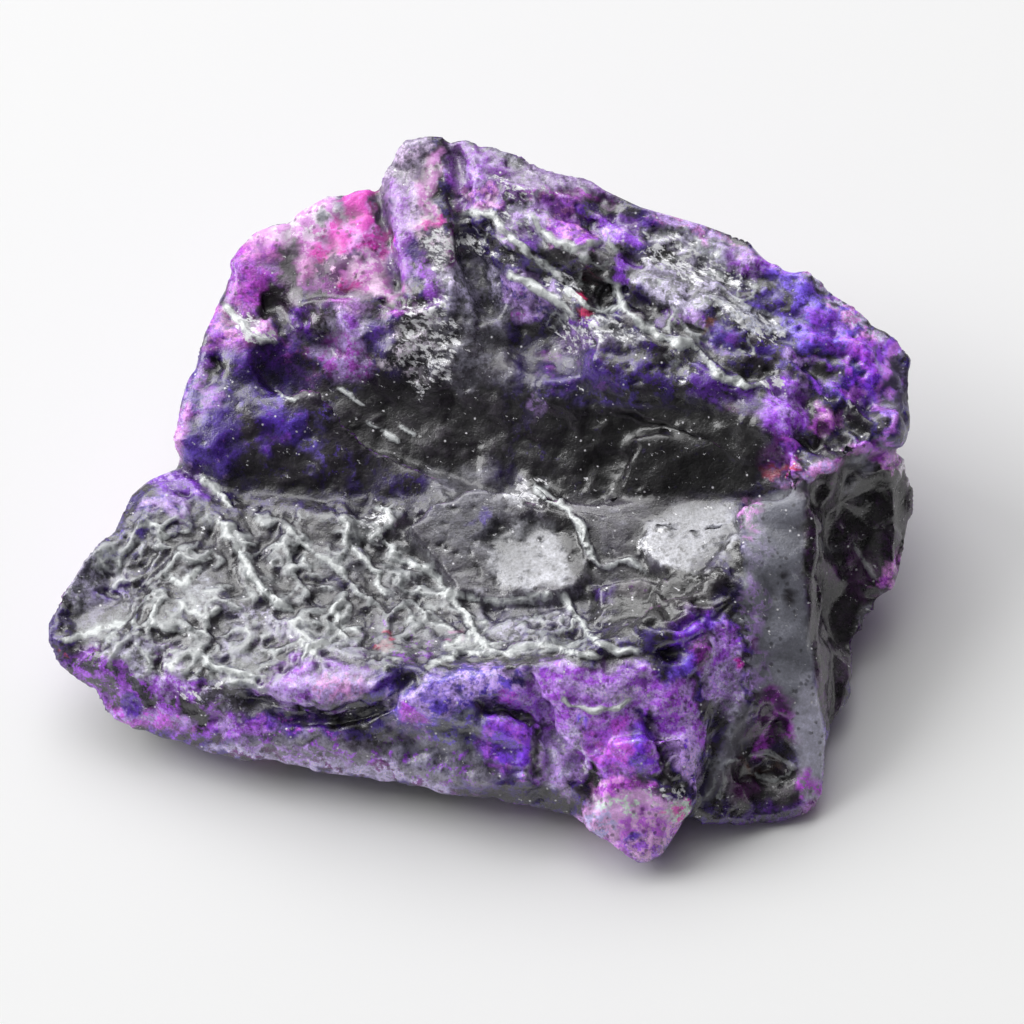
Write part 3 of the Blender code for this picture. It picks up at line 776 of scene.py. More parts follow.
ALL_ROUND = [  # width in mm, seed, from and to where it comes in, and colours
    (7, 51, -0.1, 0.25, PURPLE, BLUE_VIOLET, 0.4),
    (6, 52, 0.05, 0.3, SOOT, PLUM, 0.35),
    (5, 53, 0.15, 0.4, LAVENDER, PURPLE, 0.4),
    (4, 54, 0.28, 0.45, CHARCOAL, VIOLET, 0.3),
    (4, 55, 0.38, 0.5, PINK, MAGENTA, 0.4),
]
for width, seed, start, full, *colours in ALL_ROUND:
    lay(ramp(lumps(points, width, seed), start, full), *colours)
print("dark points all round:", int((ground.max(1) < 0.1).sum()))

# %% [markdown]
# In front, 243 patches are placed one by one. A patch is a soft ellipse whose edge is pushed about by noise of
# three sizes, so that it looks like stained stone. Later patches lie over earlier ones.

# %% A ragged patch
WANDER = [(13, 1.3), (8, 0.5), (4, 0.25)]  # how far an edge wanders in view units, and over how many mm


def wander(*seeds):
    """How far each point strays, summed over the three sizes."""
    return sum(reach * lumps(points, size, seed) for (reach, size), seed in zip(WANDER, seeds))


wander_x, wander_y = wander(61, 62, 65), wander(63, 64, 66)
print("edges wander by up to", round(float(np.abs(wander_x).max())), "units")


def blot(x, y, radius_x, radius_y, turn):
    """A soft, ragged patch at this place in the view, turned anticlockwise by this many degrees."""
    dx, dy = seen_x + wander_x - x, seen_y + wander_y - y
    cos, sin = math.cos(math.radians(turn)), math.sin(math.radians(turn))
    away = np.hypot((dx * cos - dy * sin) / radius_x, (dx * sin + dy * cos) / radius_y)
    return (1 - ramp(away, 0.78, 1.12)) * facing


def lay_patches(patches):
    """Lays patches in their order: place, radii, turn, ground, fleck, and the share of flecks where it isn't
    half."""
    for patch in patches:
        lay(blot(*patch[:5]), *patch[5:])
    print(len(patches), "patches")


# %% Patches of the left block
lay_patches([
    # the whole front: a dark violet ground
    (480, 480, 560, 480, 0, INDIGO, SOOT),
    # left block: pink top corner
    (255, 268, 32, 52, -14, PURPLE, MAGENTA, 0.45),
    (262, 245, 28, 20, 0, MAGENTA, PINK),
    (250, 285, 22, 24, -10, MAGENTA, PURPLE, 0.45),
    (275, 226, 34, 12, 22, PINK, SUGAR, 0.45),
    (315, 215, 40, 22, 22, SUGAR, PINK),
    (325, 216, 17, 10, 12, SLATE, SUGAR, 0.25),
    (300, 262, 16, 36, 10, SUGAR, PINK),
    (345, 235, 42, 22, 20, PINK, HOT_PINK),
    (340, 236, 16, 12, 20, HOT_PINK, HOT_PINK, 0.2),
    (366, 198, 14, 30, -10, HOT_PINK, PINK, 0.35),
    (378, 246, 18, 14, 0, HOT_PINK, PINK, 0.45),
    (338, 270, 24, 16, 0, PLUM, SUGAR, 0.42),
    (326, 290, 30, 9, 0, MAGENTA, PLUM, 0.4),
    (376, 276, 28, 24, 0, SUGAR, PINK),
    (355, 284, 14, 10, 0, PINK, HOT_PINK),
    # left block: dark crack and pits
    (288, 282, 9, 48, 4, SMOKE, CHARCOAL),
    (268, 304, 14, 20, 0, SOOT, CHARCOAL, 0.4),
    (318, 318, 20, 18, -30, SMOKE, SOOT),
    (300, 330, 8, 26, -10, DEEP_VIOLET, VIOLET),
    # left block: pale face, violet and flakes
    (225, 326, 26, 30, -10, PINK, PURPLE),
    (228, 344, 26, 12, 12, PINK, MAGENTA, 0.45),
    (262, 334, 14, 12, 0, PALE_LAVENDER, PINK, 0.4),
    (352, 322, 22, 26, 0, PALE_LAVENDER, LAVENDER),
    (350, 320, 11, 14, 0, PURPLE, VIOLET, 0.4),
    (348, 360, 34, 20, -15, LAVENDER, MAGENTA, 0.45),
    (388, 330, 18, 20, 0, DEEP_VIOLET, VIOLET, 0.4),
    (404, 304, 26, 9, 0, MAGENTA, PLUM),
    (408, 300, 30, 4, 0, NIGHT, NIGHT, 0.2),
    (270, 368, 42, 24, -15, VIOLET, MAGENTA, 0.4),
    (240, 400, 70, 62, 25, DEEP_VIOLET, VIOLET, 0.45),
    (250, 400, 46, 34, 25, INDIGO, BLUE_VIOLET, 0.45),
    (196, 396, 20, 34, -15, LAVENDER, BLUE_VIOLET),
    (180, 430, 12, 22, -10, PINK, LAVENDER),
    (216, 440, 36, 34, 20, BLUE_VIOLET, LAVENDER, 0.35),
    (248, 432, 14, 34, 10, SOOT, BLUE_VIOLET, 0.4),
    (286, 412, 24, 26, 0, BLUE_VIOLET, VIOLET, 0.4),
    (302, 456, 22, 18, 0, BLUE_VIOLET, SOOT),
    (220, 369, 10, 9, 0, NIGHT, SOOT, 0.2),
    (330, 400, 44, 22, 0, SOOT, BLUE_VIOLET, 0.35),
])

# %% Patches of the peak
lay_patches([
    (404, 190, 24, 56, 4, LAVENDER, PALE_LAVENDER),
    (402, 158, 20, 18, 20, PALE_LAVENDER, LILAC_GREY),
    (396, 205, 12, 30, 0, LAVENDER, PURPLE),
    (402, 250, 18, 32, -5, PURPLE, LAVENDER, 0.45),
    (412, 258, 10, 14, 0, DEEP_VIOLET, VIOLET, 0.4),
    (428, 188, 12, 44, -12, SUGAR, PINK, 0.55),
    (434, 216, 7, 10, 8, HOT_PINK, PINK, 0.4),
    (430, 278, 14, 26, 0, PURPLE, SOOT, 0.45),
    (440, 250, 18, 30, 0, SMOKE, SUGAR),
    (458, 240, 7, 52, -10, SMOKE, PLUM, 0.45),
    (425, 345, 42, 44, 0, SOOT, SUGAR, 0.45),
])

# %% Patches of the back wing, whose pale grey streaks are partly painted sheen
lay_patches([
    # back wing: smooth upper edge
    (530, 165, 90, 30, -16, LAVENDER, PURPLE),
    (466, 160, 20, 30, -10, PURPLE, LAVENDER, 0.45),
    (500, 150, 50, 8, -12, SMOKE, LILAC_GREY),
    (478, 198, 22, 14, -10, PINK, PURPLE),
    (560, 178, 40, 14, -26, LAVENDER, PALE_LAVENDER, 0.45),
    (606, 206, 50, 7, -24, CHARCOAL, LILAC_GREY, 0.4),
    (565, 194, 50, 6, -8, MAGENTA, LILAC_GREY),
    # back wing: middle
    (570, 222, 42, 24, -16, PURPLE, PINK, 0.45),
    (520, 222, 26, 24, 0, LAVENDER, LILAC_GREY),
    (528, 238, 14, 8, 0, VIOLET, DEEP_VIOLET, 0.4),
    (588, 214, 14, 12, -30, CHARCOAL, DEEP_VIOLET),
    (618, 228, 24, 16, -30, VIOLET, LAVENDER, 0.45),
    (650, 228, 18, 9, -16, DEEP_VIOLET, PURPLE, 0.35),
    (700, 236, 50, 10, -20, LAVENDER, PINK, 0.45),
    (700, 250, 60, 12, -14, LILAC_GREY, PALE_SLATE),
    (682, 280, 50, 28, -20, LILAC_GREY, SMOKE),
    (668, 254, 18, 7, -10, NIGHT, SOOT, 0.2),
    (600, 256, 50, 12, -10, CHARCOAL, NIGHT),
    (556, 252, 18, 10, -20, NIGHT, CHARCOAL, 0.4),
    (512, 254, 12, 8, 0, NIGHT, SOOT, 0.3),
    (624, 268, 16, 8, 0, VIOLET, LAVENDER, 0.4),
    (596, 288, 25, 24, 0, NIGHT, SOOT, 0.3),
    (530, 296, 36, 20, -38, LAVENDER, BLUE_VIOLET, 0.45),
    (520, 310, 18, 10, -20, LAVENDER, MAGENTA, 0.4),
    (470, 300, 34, 44, 0, SMOKE, LILAC_GREY),
    (596, 328, 50, 18, -14, SMOKE, PALE_SLATE),
    (570, 340, 26, 9, 0, LAVENDER, SUGAR, 0.4),
    (580, 322, 16, 7, 0, VIOLET, LAVENDER, 0.4),
    (668, 318, 42, 16, -20, SOOT, CHARCOAL),
    (662, 318, 9, 8, 0, VIOLET, PURPLE, 0.4),
    (688, 314, 14, 10, 0, LAVENDER, VIOLET, 0.45),
    (704, 330, 5, 8, 0, RUST, SOOT, 0.3),
    (722, 341, 22, 10, -10, BLUE_VIOLET, VIOLET, 0.45),
    # back wing: blue-violet right part
    (770, 276, 54, 14, -26, PURPLE, LAVENDER, 0.45),
    (800, 312, 64, 30, -32, BLUE_VIOLET, INDIGO, 0.45),
    (770, 296, 34, 12, -22, INDIGO, NIGHT),
    (752, 286, 10, 8, 0, NIGHT, SOOT, 0.3),
    (752, 318, 36, 12, -26, SMOKE, PALE_SLATE),
    (830, 330, 40, 18, -34, VIOLET, BLUE_VIOLET, 0.45),
    (862, 358, 24, 20, -40, MAGENTA, PURPLE),
    (836, 384, 40, 16, -30, VIOLET, INDIGO),
    (818, 374, 18, 8, -10, NIGHT, INDIGO, 0.4),
    (852, 366, 12, 8, -20, INDIGO, NIGHT, 0.4),
    (796, 362, 18, 9, -20, LAVENDER, PURPLE, 0.45),
    (876, 392, 18, 22, -30, VIOLET, LAVENDER, 0.4),
    (856, 396, 18, 9, -34, MAGENTA, PINK),
    (856, 420, 22, 14, -40, NIGHT, SOOT, 0.2),
    (822, 426, 20, 16, -40, MAGENTA, PINK, 0.45),
    (806, 412, 9, 16, 20, NIGHT, SOOT, 0.3),
    (812, 446, 24, 6, -12, NIGHT, CHARCOAL, 0.3),
    (782, 410, 24, 34, 0, PURPLE, LAVENDER),
    (778, 456, 16, 30, 6, MAGENTA, PURPLE),
    (790, 466, 14, 6, 12, ROSE, PINK, 0.4),
    (774, 478, 10, 7, 20, ROSE, PLUM, 0.4),
    (888, 366, 14, 26, 20, SMOKE, PLUM),
    (900, 380, 9, 50, 0, CHARCOAL, SMOKE, 0.4),
    (888, 350, 8, 14, -30, PURPLE, PLUM, 0.4),
])

# %% Patches of the trough
lay_patches([
    # the trough's wall
    (610, 430, 180, 62, -4, NIGHT, INDIGO, 0.42),
    (420, 425, 110, 55, 0, NIGHT, SOOT),
    (470, 350, 50, 44, 0, CHARCOAL, SMOKE),
    (590, 366, 60, 20, -8, DEEP_VIOLET, PURPLE, 0.4),
    (545, 357, 12, 8, 0, MAGENTA, PLUM, 0.4),
    (660, 372, 70, 26, -12, DEEP_VIOLET, SOOT),
    (640, 404, 60, 16, -5, BLUE_VIOLET, SOOT, 0.55),
    (718, 388, 34, 16, -8, VIOLET, SOOT, 0.4),
    (735, 412, 14, 10, 0, PLUM, MAGENTA, 0.35),
    (700, 425, 60, 16, 0, INDIGO, NIGHT, 0.6),
    (534, 400, 13, 18, 0, LAVENDER, SMOKE),
    (300, 472, 80, 26, 0, SOOT, INDIGO, 0.4),
    (330, 470, 20, 26, 0, BLUE_VIOLET, SOOT, 0.6),
    (468, 484, 44, 18, 0, SMOKE, SLATE, 0.4),
    # the trough's floor, left
    (300, 585, 230, 80, 4, CHARCOAL, SOOT),
    (180, 482, 36, 16, -14, VIOLET, LAVENDER, 0.45),
    (165, 504, 34, 10, 6, LAVENDER, BLUE_VIOLET, 0.45),
    (125, 540, 34, 16, 40, SMOKE, BLUE_VIOLET, 0.45),
    (90, 590, 36, 40, 40, LILAC_GREY, SMOKE),
    (110, 588, 18, 10, 30, DEEP_VIOLET, SOOT, 0.4),
    (160, 610, 30, 24, 0, SOOT, BLUE_VIOLET, 0.35),
    (80, 650, 34, 12, -10, SOOT, ROSE, 0.2),
    (200, 595, 28, 24, 0, SMOKE, PALE_SLATE),
    (245, 620, 26, 16, 0, LILAC_GREY, CHARCOAL),
    (244, 650, 20, 9, 0, LILAC_GREY, NIGHT, 0.45),
    (280, 630, 22, 14, 0, LILAC_GREY, PURPLE, 0.4),
    (340, 570, 30, 24, -30, SMOKE, CHARCOAL),
    (330, 650, 40, 14, 0, LILAC_GREY, SMOKE),
    (400, 640, 46, 20, 10, SMOKE, PURPLE, 0.4),
    (404, 580, 22, 14, -20, SMOKE, CHARCOAL),
    # the trough's floor, right, where the silver patches are painted reflection of the window
    (560, 545, 180, 66, 4, CHARCOAL, SMOKE, 0.4),
    (465, 515, 40, 40, 0, SMOKE, CHARCOAL, 0.4),
    (488, 520, 9, 7, 0, BLUE_VIOLET, SMOKE, 0.4),
    (548, 490, 9, 34, 34, NIGHT, SOOT, 0.3),
    (578, 545, 7, 34, 20, NIGHT, SMOKE, 0.35),
    (538, 560, 46, 30, 4, PAINTED_REFLECTION_SILVER, SMOKE, 0.3),
    (520, 540, 20, 8, 10, PAINTED_REFLECTION_SILVER, NIGHT, 0.3),
    (524, 496, 18, 14, 0, PAINTED_REFLECTION_SILVER, SOOT, 0.4),
    (694, 530, 48, 30, -6, PAINTED_REFLECTION_SILVER, PALE_SLATE, 0.4),
    (696, 512, 44, 14, 0, PAINTED_REFLECTION_SILVER, PALE_SLATE, 0.4),
    (656, 532, 18, 22, 0, PAINTED_REFLECTION_SILVER, SOOT, 0.42),
    (680, 560, 20, 12, -30, PAINTED_REFLECTION_SILVER, SOOT, 0.4),
    (734, 556, 12, 18, 0, NIGHT, DEEP_VIOLET, 0.35),
    (655, 594, 76, 24, 4, SOOT, LILAC_GREY, 0.36),
    (606, 588, 12, 9, 0, DEEP_VIOLET, NIGHT, 0.4),
    (640, 584, 20, 10, 0, LILAC_GREY, PURPLE, 0.4),
    (524, 622, 50, 20, 0, LILAC_GREY, SMOKE),
    (630, 626, 34, 8, 8, NIGHT, SOOT, 0.2),
    (690, 622, 40, 12, 12, CHARCOAL, LILAC_GREY, 0.4),
])

# %% Patches of the front slope and the foot
lay_patches([
    # front slope, left
    (150, 690, 90, 40, -20, PURPLE, CHARCOAL),
    (140, 660, 50, 14, -25, CHARCOAL, LILAC_GREY),
    (180, 684, 34, 18, -30, PURPLE, LAVENDER),
    (150, 716, 50, 12, -14, LAVENDER, MAGENTA),
    (136, 704, 18, 8, -10, DEEP_VIOLET, SOOT, 0.4),
    (196, 712, 14, 12, 0, NIGHT, SOOT, 0.2),
    (230, 698, 36, 12, -10, CHARCOAL, LILAC_GREY, 0.45),
    (300, 732, 90, 14, -8, DEEP_VIOLET, MAGENTA, 0.45),
    (240, 725, 30, 10, -8, PURPLE, LAVENDER),
    # front slope, middle
    (320, 684, 60, 26, 4, LAVENDER, PURPLE, 0.45),
    (335, 686, 26, 14, 10, PINK, LAVENDER),
    (300, 672, 20, 16, 10, PURPLE, LAVENDER),
    (384, 692, 24, 12, 26, DEEP_VIOLET, BLUE_VIOLET, 0.45),
    (335, 716, 66, 6, -2, NIGHT, SOOT, 0.2),
    (400, 755, 170, 22, -6, SMOKE, PURPLE, 0.42),
    (330, 766, 130, 8, -8, LILAC_GREY, PLUM, 0.45),
    (300, 752, 60, 6, -8, LAVENDER, SMOKE),
    (380, 736, 50, 7, -4, CHARCOAL, NIGHT),
    (430, 705, 46, 30, 20, BLUE_VIOLET, LAVENDER),
    (416, 716, 16, 10, 0, MAGENTA, DEEP_VIOLET, 0.4),
    (456, 735, 26, 22, 0, SMOKE, BLUE_VIOLET, 0.45),
    (478, 680, 50, 20, 10, LAVENDER, BLUE_VIOLET),
    (528, 700, 26, 9, -14, MAGENTA, VIOLET, 0.45),
    (560, 658, 110, 7, -1, SOOT, SMOKE, 0.4),
    # front slope, right
    (590, 720, 90, 60, 0, PURPLE, LAVENDER),
    (506, 742, 28, 36, -10, VIOLET, PURPLE),
    (512, 756, 16, 26, 0, DEEP_VIOLET, MAGENTA, 0.35),
    (508, 712, 30, 6, -14, NIGHT, SOOT, 0.2),
    (537, 745, 8, 34, -8, CHARCOAL, NIGHT, 0.4),
    (562, 757, 20, 30, -10, LILAC_GREY, LAVENDER),
    (608, 690, 36, 15, 0, LAVENDER, PALE_LAVENDER, 0.45),
    (570, 716, 44, 20, -30, LAVENDER, PURPLE),
    (582, 726, 12, 8, 0, BLUE_VIOLET, SMOKE, 0.4),
    (610, 745, 34, 26, -16, MAGENTA, PURPLE),
    (642, 742, 13, 30, -4, DEEP_VIOLET, INDIGO, 0.4),
    (654, 728, 20, 8, -48, NIGHT, INDIGO, 0.3),
    (664, 768, 11, 16, 0, NIGHT, CHARCOAL, 0.3),
    (594, 778, 9, 20, 20, NIGHT, CHARCOAL, 0.3),
    (625, 786, 30, 10, 8, PINK, MAGENTA),
    (680, 720, 30, 34, 10, LAVENDER, PURPLE),
    (690, 762, 14, 30, 10, LAVENDER, DEEP_VIOLET, 0.4),
    (706, 640, 34, 34, 20, VIOLET, DEEP_VIOLET),
    (704, 655, 16, 16, 0, PLUM, DARK_PLUM),
    (680, 672, 12, 12, 0, BLUE_VIOLET, DEEP_VIOLET, 0.4),
    (728, 676, 18, 46, 6, LAVENDER, LILAC_GREY),
    (728, 640, 10, 22, 0, PURPLE, LAVENDER),
    # front foot
    (630, 824, 56, 34, 0, PINK, MAGENTA),
    (632, 806, 44, 12, 0, SUGAR, PINK, 0.55),
    (600, 822, 24, 16, -30, LAVENDER, PINK),
    (640, 846, 24, 12, 0, PINK, PURPLE),
    (632, 840, 6, 6, 0, DEEP_VIOLET, PLUM, 0.4),
    (676, 814, 10, 12, 0, HOT_PINK, SUGAR),
])

# %% Patches of the right end
lay(zone(HOLLOW, 2, 2), DARK_PLUM, NIGHT)
lay(zone(BAND, 2, 2), SLATE, PALE_SLATE, 0.35)
lay(zone(NARROW_FACET, 2, 2), SMOKE, SLATE, 0.4)
lay_patches([
    # waxy band
    (752, 520, 8, 26, 10, PINK, SLATE),
    (755, 630, 8, 70, 0, LAVENDER, SLATE, 0.55),
    (757, 548, 8, 26, 0, LILAC_GREY, SLATE),
    (785, 592, 5, 12, -10, SOOT, PLUM, 0.3),
    (790, 604, 6, 5, 0, SOOT, PLUM, 0.3),
    (754, 642, 6, 8, -30, PLUM, SOOT, 0.3),
    # plum hollow of the foot
    (772, 722, 26, 30, 0, PLUM, DARK_PLUM),
    (768, 740, 9, 8, 0, MAGENTA, PLUM),
    (760, 782, 44, 30, 0, DARK_PLUM, NIGHT, 0.45),
    (764, 766, 17, 8, 0, RUST, DARK_PLUM, 0.35),
    (752, 788, 18, 14, 0, PLUM, DARK_PLUM, 0.4),
    (722, 780, 7, 26, 25, SLATE, CHARCOAL, 0.4),
    (812, 785, 12, 12, 0, MAGENTA, SMOKE),
    # glassy hollow, where the small grey patch at 826, 545 is a painted reflection
    (862, 560, 60, 116, 12, DARK_PLUM, NIGHT),
    (880, 500, 30, 40, 0, NIGHT, DARK_PLUM, 0.4),
    (856, 575, 16, 24, 20, PLUM, DARK_PLUM, 0.4),
    (826, 545, 14, 9, 20, SMOKE, DARK_PLUM, 0.3),
    (866, 456, 42, 10, 26, SLATE, SMOKE, 0.4),
    (858, 478, 24, 8, 40, SMOKE, DARK_PLUM, 0.4),
    (888, 456, 13, 10, 0, PINK, MAGENTA),
    (908, 466, 7, 18, 0, SUGAR, PINK, 0.4),
    (890, 572, 9, 24, -20, MAGENTA, PINK),
    (868, 612, 16, 20, -10, SMOKE, LILAC_GREY),
    (836, 640, 22, 46, 20, SOOT, DARK_PLUM),
    # pink-lilac line round the wing's right end
    (810, 268, 40, 5, -36, PINK, LILAC_GREY),
    (852, 318, 34, 5, -45, PINK, LILAC_GREY),
    (888, 372, 5, 34, -12, PINK, LAVENDER, 0.45),
    (888, 420, 5, 22, 16, PINK, LAVENDER, 0.45),
    (862, 448, 28, 6, 26, PINK, MAGENTA, 0.45),
    (810, 480, 36, 7, 26, PINK, LAVENDER),
    # crumbs of its own grit
    (582, 306, 7, 8, 0, ROSE, HOT_PINK, 0.2),
    (458, 634, 7, 5, 0, HOT_PINK, HOT_PINK, 0.2),
    (740, 666, 5, 6, 0, HOT_PINK, HOT_PINK, 0.2),
    (386, 641, 7, 5, 0, ROSE, ROSE, 0.2),
])

# %% The dark wall, the dimples and the dark stripes
DARK_WALL = [(548, 400), (765, 415), (752, 496), (700, 493), (640, 496), (590, 497), (566, 492), (552, 470),
             (540, 440)]
STRIPES = [  # half width in view units, line and colours
    (8, [(526, 468), (537, 486), (548, 504), (559, 520), (567, 536), (572, 552), (577, 568)], NIGHT, SOOT, 0.4),
    (3, [(500, 712), (520, 718), (536, 730), (542, 748)], NIGHT, SOOT, 0.3),
    (2.5, [(724, 548), (736, 556), (742, 575)], NIGHT, SOOT, 0.3),
]
in_mosaic = zone(MOSAIC, 16) * (1 - zone(CALM_FLOOR))
lay(zone(DARK_WALL, 5, 4), NIGHT, INDIGO, 0.36)
lay(0.75 * in_mosaic * dimples(bent), SOOT, INDIGO, 0.45)
for width, line, *colours in STRIPES:
    away, _, _ = from_line(line, shake_x, shake_y)
    lay((1 - ramp(away, width * 0.7, width * 1.3)) * facing, *colours)
print(len(STRIPES), "stripes")

# %% [markdown]
# Colours are made stronger in some listed places and weaker in others, much of it painted light where the
# lamps leave a place too dark, such as the front slope, the foot and the band, and painted shade where they
# leave it too bright. Then recesses get painted shade and crests painted light, the sides turned away from
# the view are darkened, and a colour that would be too bright for a real surface is dimmed without a change
# of hue.

# %% Painted light and shade: stronger and weaker places, shaded recesses, lit crests
PAINTED_LIGHT_AND_SHADE = [  # place, radii, turn, and times how much red, green and blue
    (600, 725, 120, 70, 0, (2.8, 2.6, 2.8)), (640, 830, 70, 40, 0, (2.3, 3.1, 2.35)),
    (450, 720, 90, 50, 0, (1.25, 1.3, 1.4)), (300, 755, 200, 40, -8, (1.7, 1.6, 1.75)),
    (150, 690, 90, 50, -20, (1.2, 1.2, 1.2)), (820, 330, 90, 60, -35, (2.5, 2.5, 2.6)),
    (812, 745, 24, 70, 0, (2.6, 2.5, 2.6)), (880, 400, 50, 60, 0, (1.0, 0.8, 1.4)),
    (610, 260, 130, 50, -22, (1.7, 1.7, 1.6)), (706, 640, 40, 60, 20, (2.2, 1.85, 2.4)),
    (240, 400, 70, 60, 20, (0.58, 0.28, 0.68)), (265, 290, 70, 60, 0, (0.88, 0.52, 0.83)),
    (350, 275, 50, 36, 0, (1.0, 0.7, 0.9)), (318, 214, 40, 26, 0, (0.95, 0.92, 0.93)),
    (360, 238, 36, 26, 0, (1.4, 1.7, 1.5)), (458, 245, 13, 46, -8, (1.4, 1.35, 1.3)),
    (408, 200, 36, 66, 0, (0.82, 0.72, 0.76)), (540, 168, 110, 34, -20, (0.63, 0.62, 0.6)),
    (640, 374, 120, 34, -10, (0.5, 0.38, 0.62)), (680, 450, 110, 56, 0, (0.34, 0.26, 0.3)),
    (660, 596, 80, 28, 4, (0.32, 0.32, 0.24)), (340, 686, 66, 26, 4, (0.78, 0.85, 0.78)),
    (782, 425, 22, 50, 0, (1.35, 1.0, 1.65)), (290, 425, 36, 40, 0, (1.35, 1.3, 1.5)),
    (694, 530, 52, 36, -6, (0.9, 0.9, 0.9)), (480, 540, 60, 50, 0, (0.7, 0.7, 0.7)),
    (772, 722, 24, 26, 0, (2.3, 1.5, 2.4)), (760, 782, 44, 30, 0, (0.5, 0.35, 0.45)),
]
RECESS_PAINTED_SHADE, CREST_PAINTED_LIGHT = 0.45, 1.40
CLEAR_RELIEF = 0.06  # mm, from where on a recess is as dark, or a crest as light, as it gets
BAND_CALM = 0.7
FAR_SIDES_DARKER = 0.4
BRIGHTEST = 0.95
# painted light and painted shade, place by place
for *place, times in PAINTED_LIGHT_AND_SHADE:
    painted_light_and_shade_times = 1 + blot(*place)[:, None] * (np.array(times) - 1)
    ground *= painted_light_and_shade_times
    fleck *= painted_light_and_shade_times
in_band = band()
# painted shade in the recesses and painted light on the crests
painted_crest_light_and_recess_shade = CREST_PAINTED_LIGHT - (CREST_PAINTED_LIGHT - RECESS_PAINTED_SHADE) * ramp(depth, -CLEAR_RELIEF, CLEAR_RELIEF)
painted_crest_light_and_recess_shade = painted_crest_light_and_recess_shade * (1 - BAND_CALM * in_band) + BAND_CALM * in_band
painted_crest_light_and_recess_shade *= 1 - FAR_SIDES_DARKER * (1 - facing)
for colours in (ground, fleck):
    colours *= painted_crest_light_and_recess_shade[:, None]
    colours *= np.minimum(1, BRIGHTEST / colours.max(1))[:, None]
print("light of the crests and recesses from", round(painted_crest_light_and_recess_shade.min(), 2), "to", round(painted_crest_light_and_recess_shade.max(), 2))

# %% [markdown]
# More numbers go with the colours: how waxy and how sugary a point is, how much milky film gathered on it,
# which is partly a painted highlight, how many white flakes it has, which are partly painted glints, and how
# much dust, whose white specks also stand for painted glints. Wax is duller than the wet skin. Film lies on the
# ridges, where it stands for painted highlight as well.

# %% Wax, sugar, and film, flakes and dust that are partly painted highlights and glints
WAXY = [(866, 456, 44, 12, 26), (890, 366, 14, 26, 20), (900, 380, 9, 50, 0)]
SUGARY = [(320, 222, 80, 34, 20), (300, 262, 18, 40, 10), (428, 188, 14, 46, -12), (632, 815, 46, 22, 0),
          (376, 276, 30, 24, 0), (345, 268, 30, 18, 0)]
# white flakes, partly painted glints
FLAKES_AND_GLINTS = [(428, 340, 34, 50, 0), (440, 250, 18, 30, 0), (512, 222, 24, 14, -10), (478, 246, 14, 12, 0),
         (585, 336, 34, 9, -8), (606, 325, 40, 12, -14), (748, 325, 42, 13, -28), (690, 262, 56, 20, -18),
         (664, 790, 22, 8, 0), (560, 285, 24, 12, -40), (650, 545, 16, 14, 0),
         (254, 332, 26, 12, -30), (520, 186, 36, 7, -14), (770, 384, 14, 6, 0),
         (690, 375, 14, 6, -20), (196, 694, 16, 14, 0), (376, 520, 16, 14, 0), (524, 496, 14, 12, 0)]
crest = ramp(-depth, 0.0, 0.05)
# milky film, partly a painted highlight on crests, ridges and veins
film_and_highlight = in_mosaic * (0.25 + 0.42 * crest + 0.30 * ramp(lumps(bent, 1.4, 38), -0.1, 0.4) + 0.6 * winding(bent))
film_and_highlight -= in_mosaic * 0.45 * dimples(bent)
film_and_highlight -= 0.09 * blot(170, 580, 90, 66, 0)
film_and_highlight = np.maximum(film_and_highlight, 0.3 * crest * zone(CALM_FLOOR))
film_and_highlight = np.maximum(film_and_highlight, 1.1 * veins(bent))
for ridges, amount, most in ((RIDGES, 3.4, 1.3), (FAINT_RIDGES, 2.2, 0.72)):
    for width, _, line in ridges:
        film_and_highlight = np.maximum(film_and_highlight, np.clip(bead(line, width * THINNER, amount), 0, most))
waxy = np.maximum(in_band, 0.35 * zone(TROUGH_WALL, 16))
sugary, flakes_and_glints = np.zeros(len(points)), np.zeros(len(points))
for finish, places_of_it in ((waxy, WAXY), (sugary, SUGARY), (flakes_and_glints, FLAKES_AND_GLINTS)):
    for place in places_of_it:
        np.maximum(finish, blot(*place), out=finish)
# share of the small cells that hold a grain of dust, whose white speck also stands for a painted glint
dust_and_glints = 0.012 + 0.010 * zone(TROUGH_WALL, 20) + 0.02 * zone(WING, 20) + 0.015 * zone(FRONT_SLOPE)


def store(mesh, name, colours):
    """Keeps one colour per point on the mesh, under a name that the shader reads."""
    layer = mesh.color_attributes.new(name, "FLOAT_COLOR", "POINT")
    solid_alpha = np.ones((len(colours), 1))
    layer.data.foreach_set("color", np.hstack((colours, solid_alpha)).astype(np.float32).ravel())


store(stone.data, "ground_colour", ground)
store(stone.data, "fleck_colour", fleck)
store(stone.data, "finish", np.stack((share, waxy, sugary), axis=1))
store(stone.data, "skin", np.stack((film_and_highlight, flakes_and_glints, dust_and_glints), axis=1))
print("stored", len(stone.data.color_attributes), "layers")

# %% [markdown]
# ## The stone's surface
#
# Corundum is a hard, dense oxide with a high refractive index of 1.77, which gives it a bright gloss. This
# piece is wet or oiled as well, so a thin clear coat lies over the rougher break. Noise half a millimetre
# across splits the ground from the flecks, and finer noise makes each lighter and darker.

# %% A node with its settings and links
def add_node(tree, kind, settings=None, links=None, output=0):
    """Adds a node and gives one of its outputs. Settings are attributes or, with an input's name or number,
    values. Links feed inputs."""
    node = tree.nodes.new(kind)
    for key, value in (settings or {}).items():
        if isinstance(key, str) and hasattr(node, key):
            setattr(node, key, value)
        else:
            node.inputs[key].default_value = value
    for key, source in (links or {}).items():
        tree.links.new(source, node.inputs[key])
    return None if output is None else node.outputs[output]


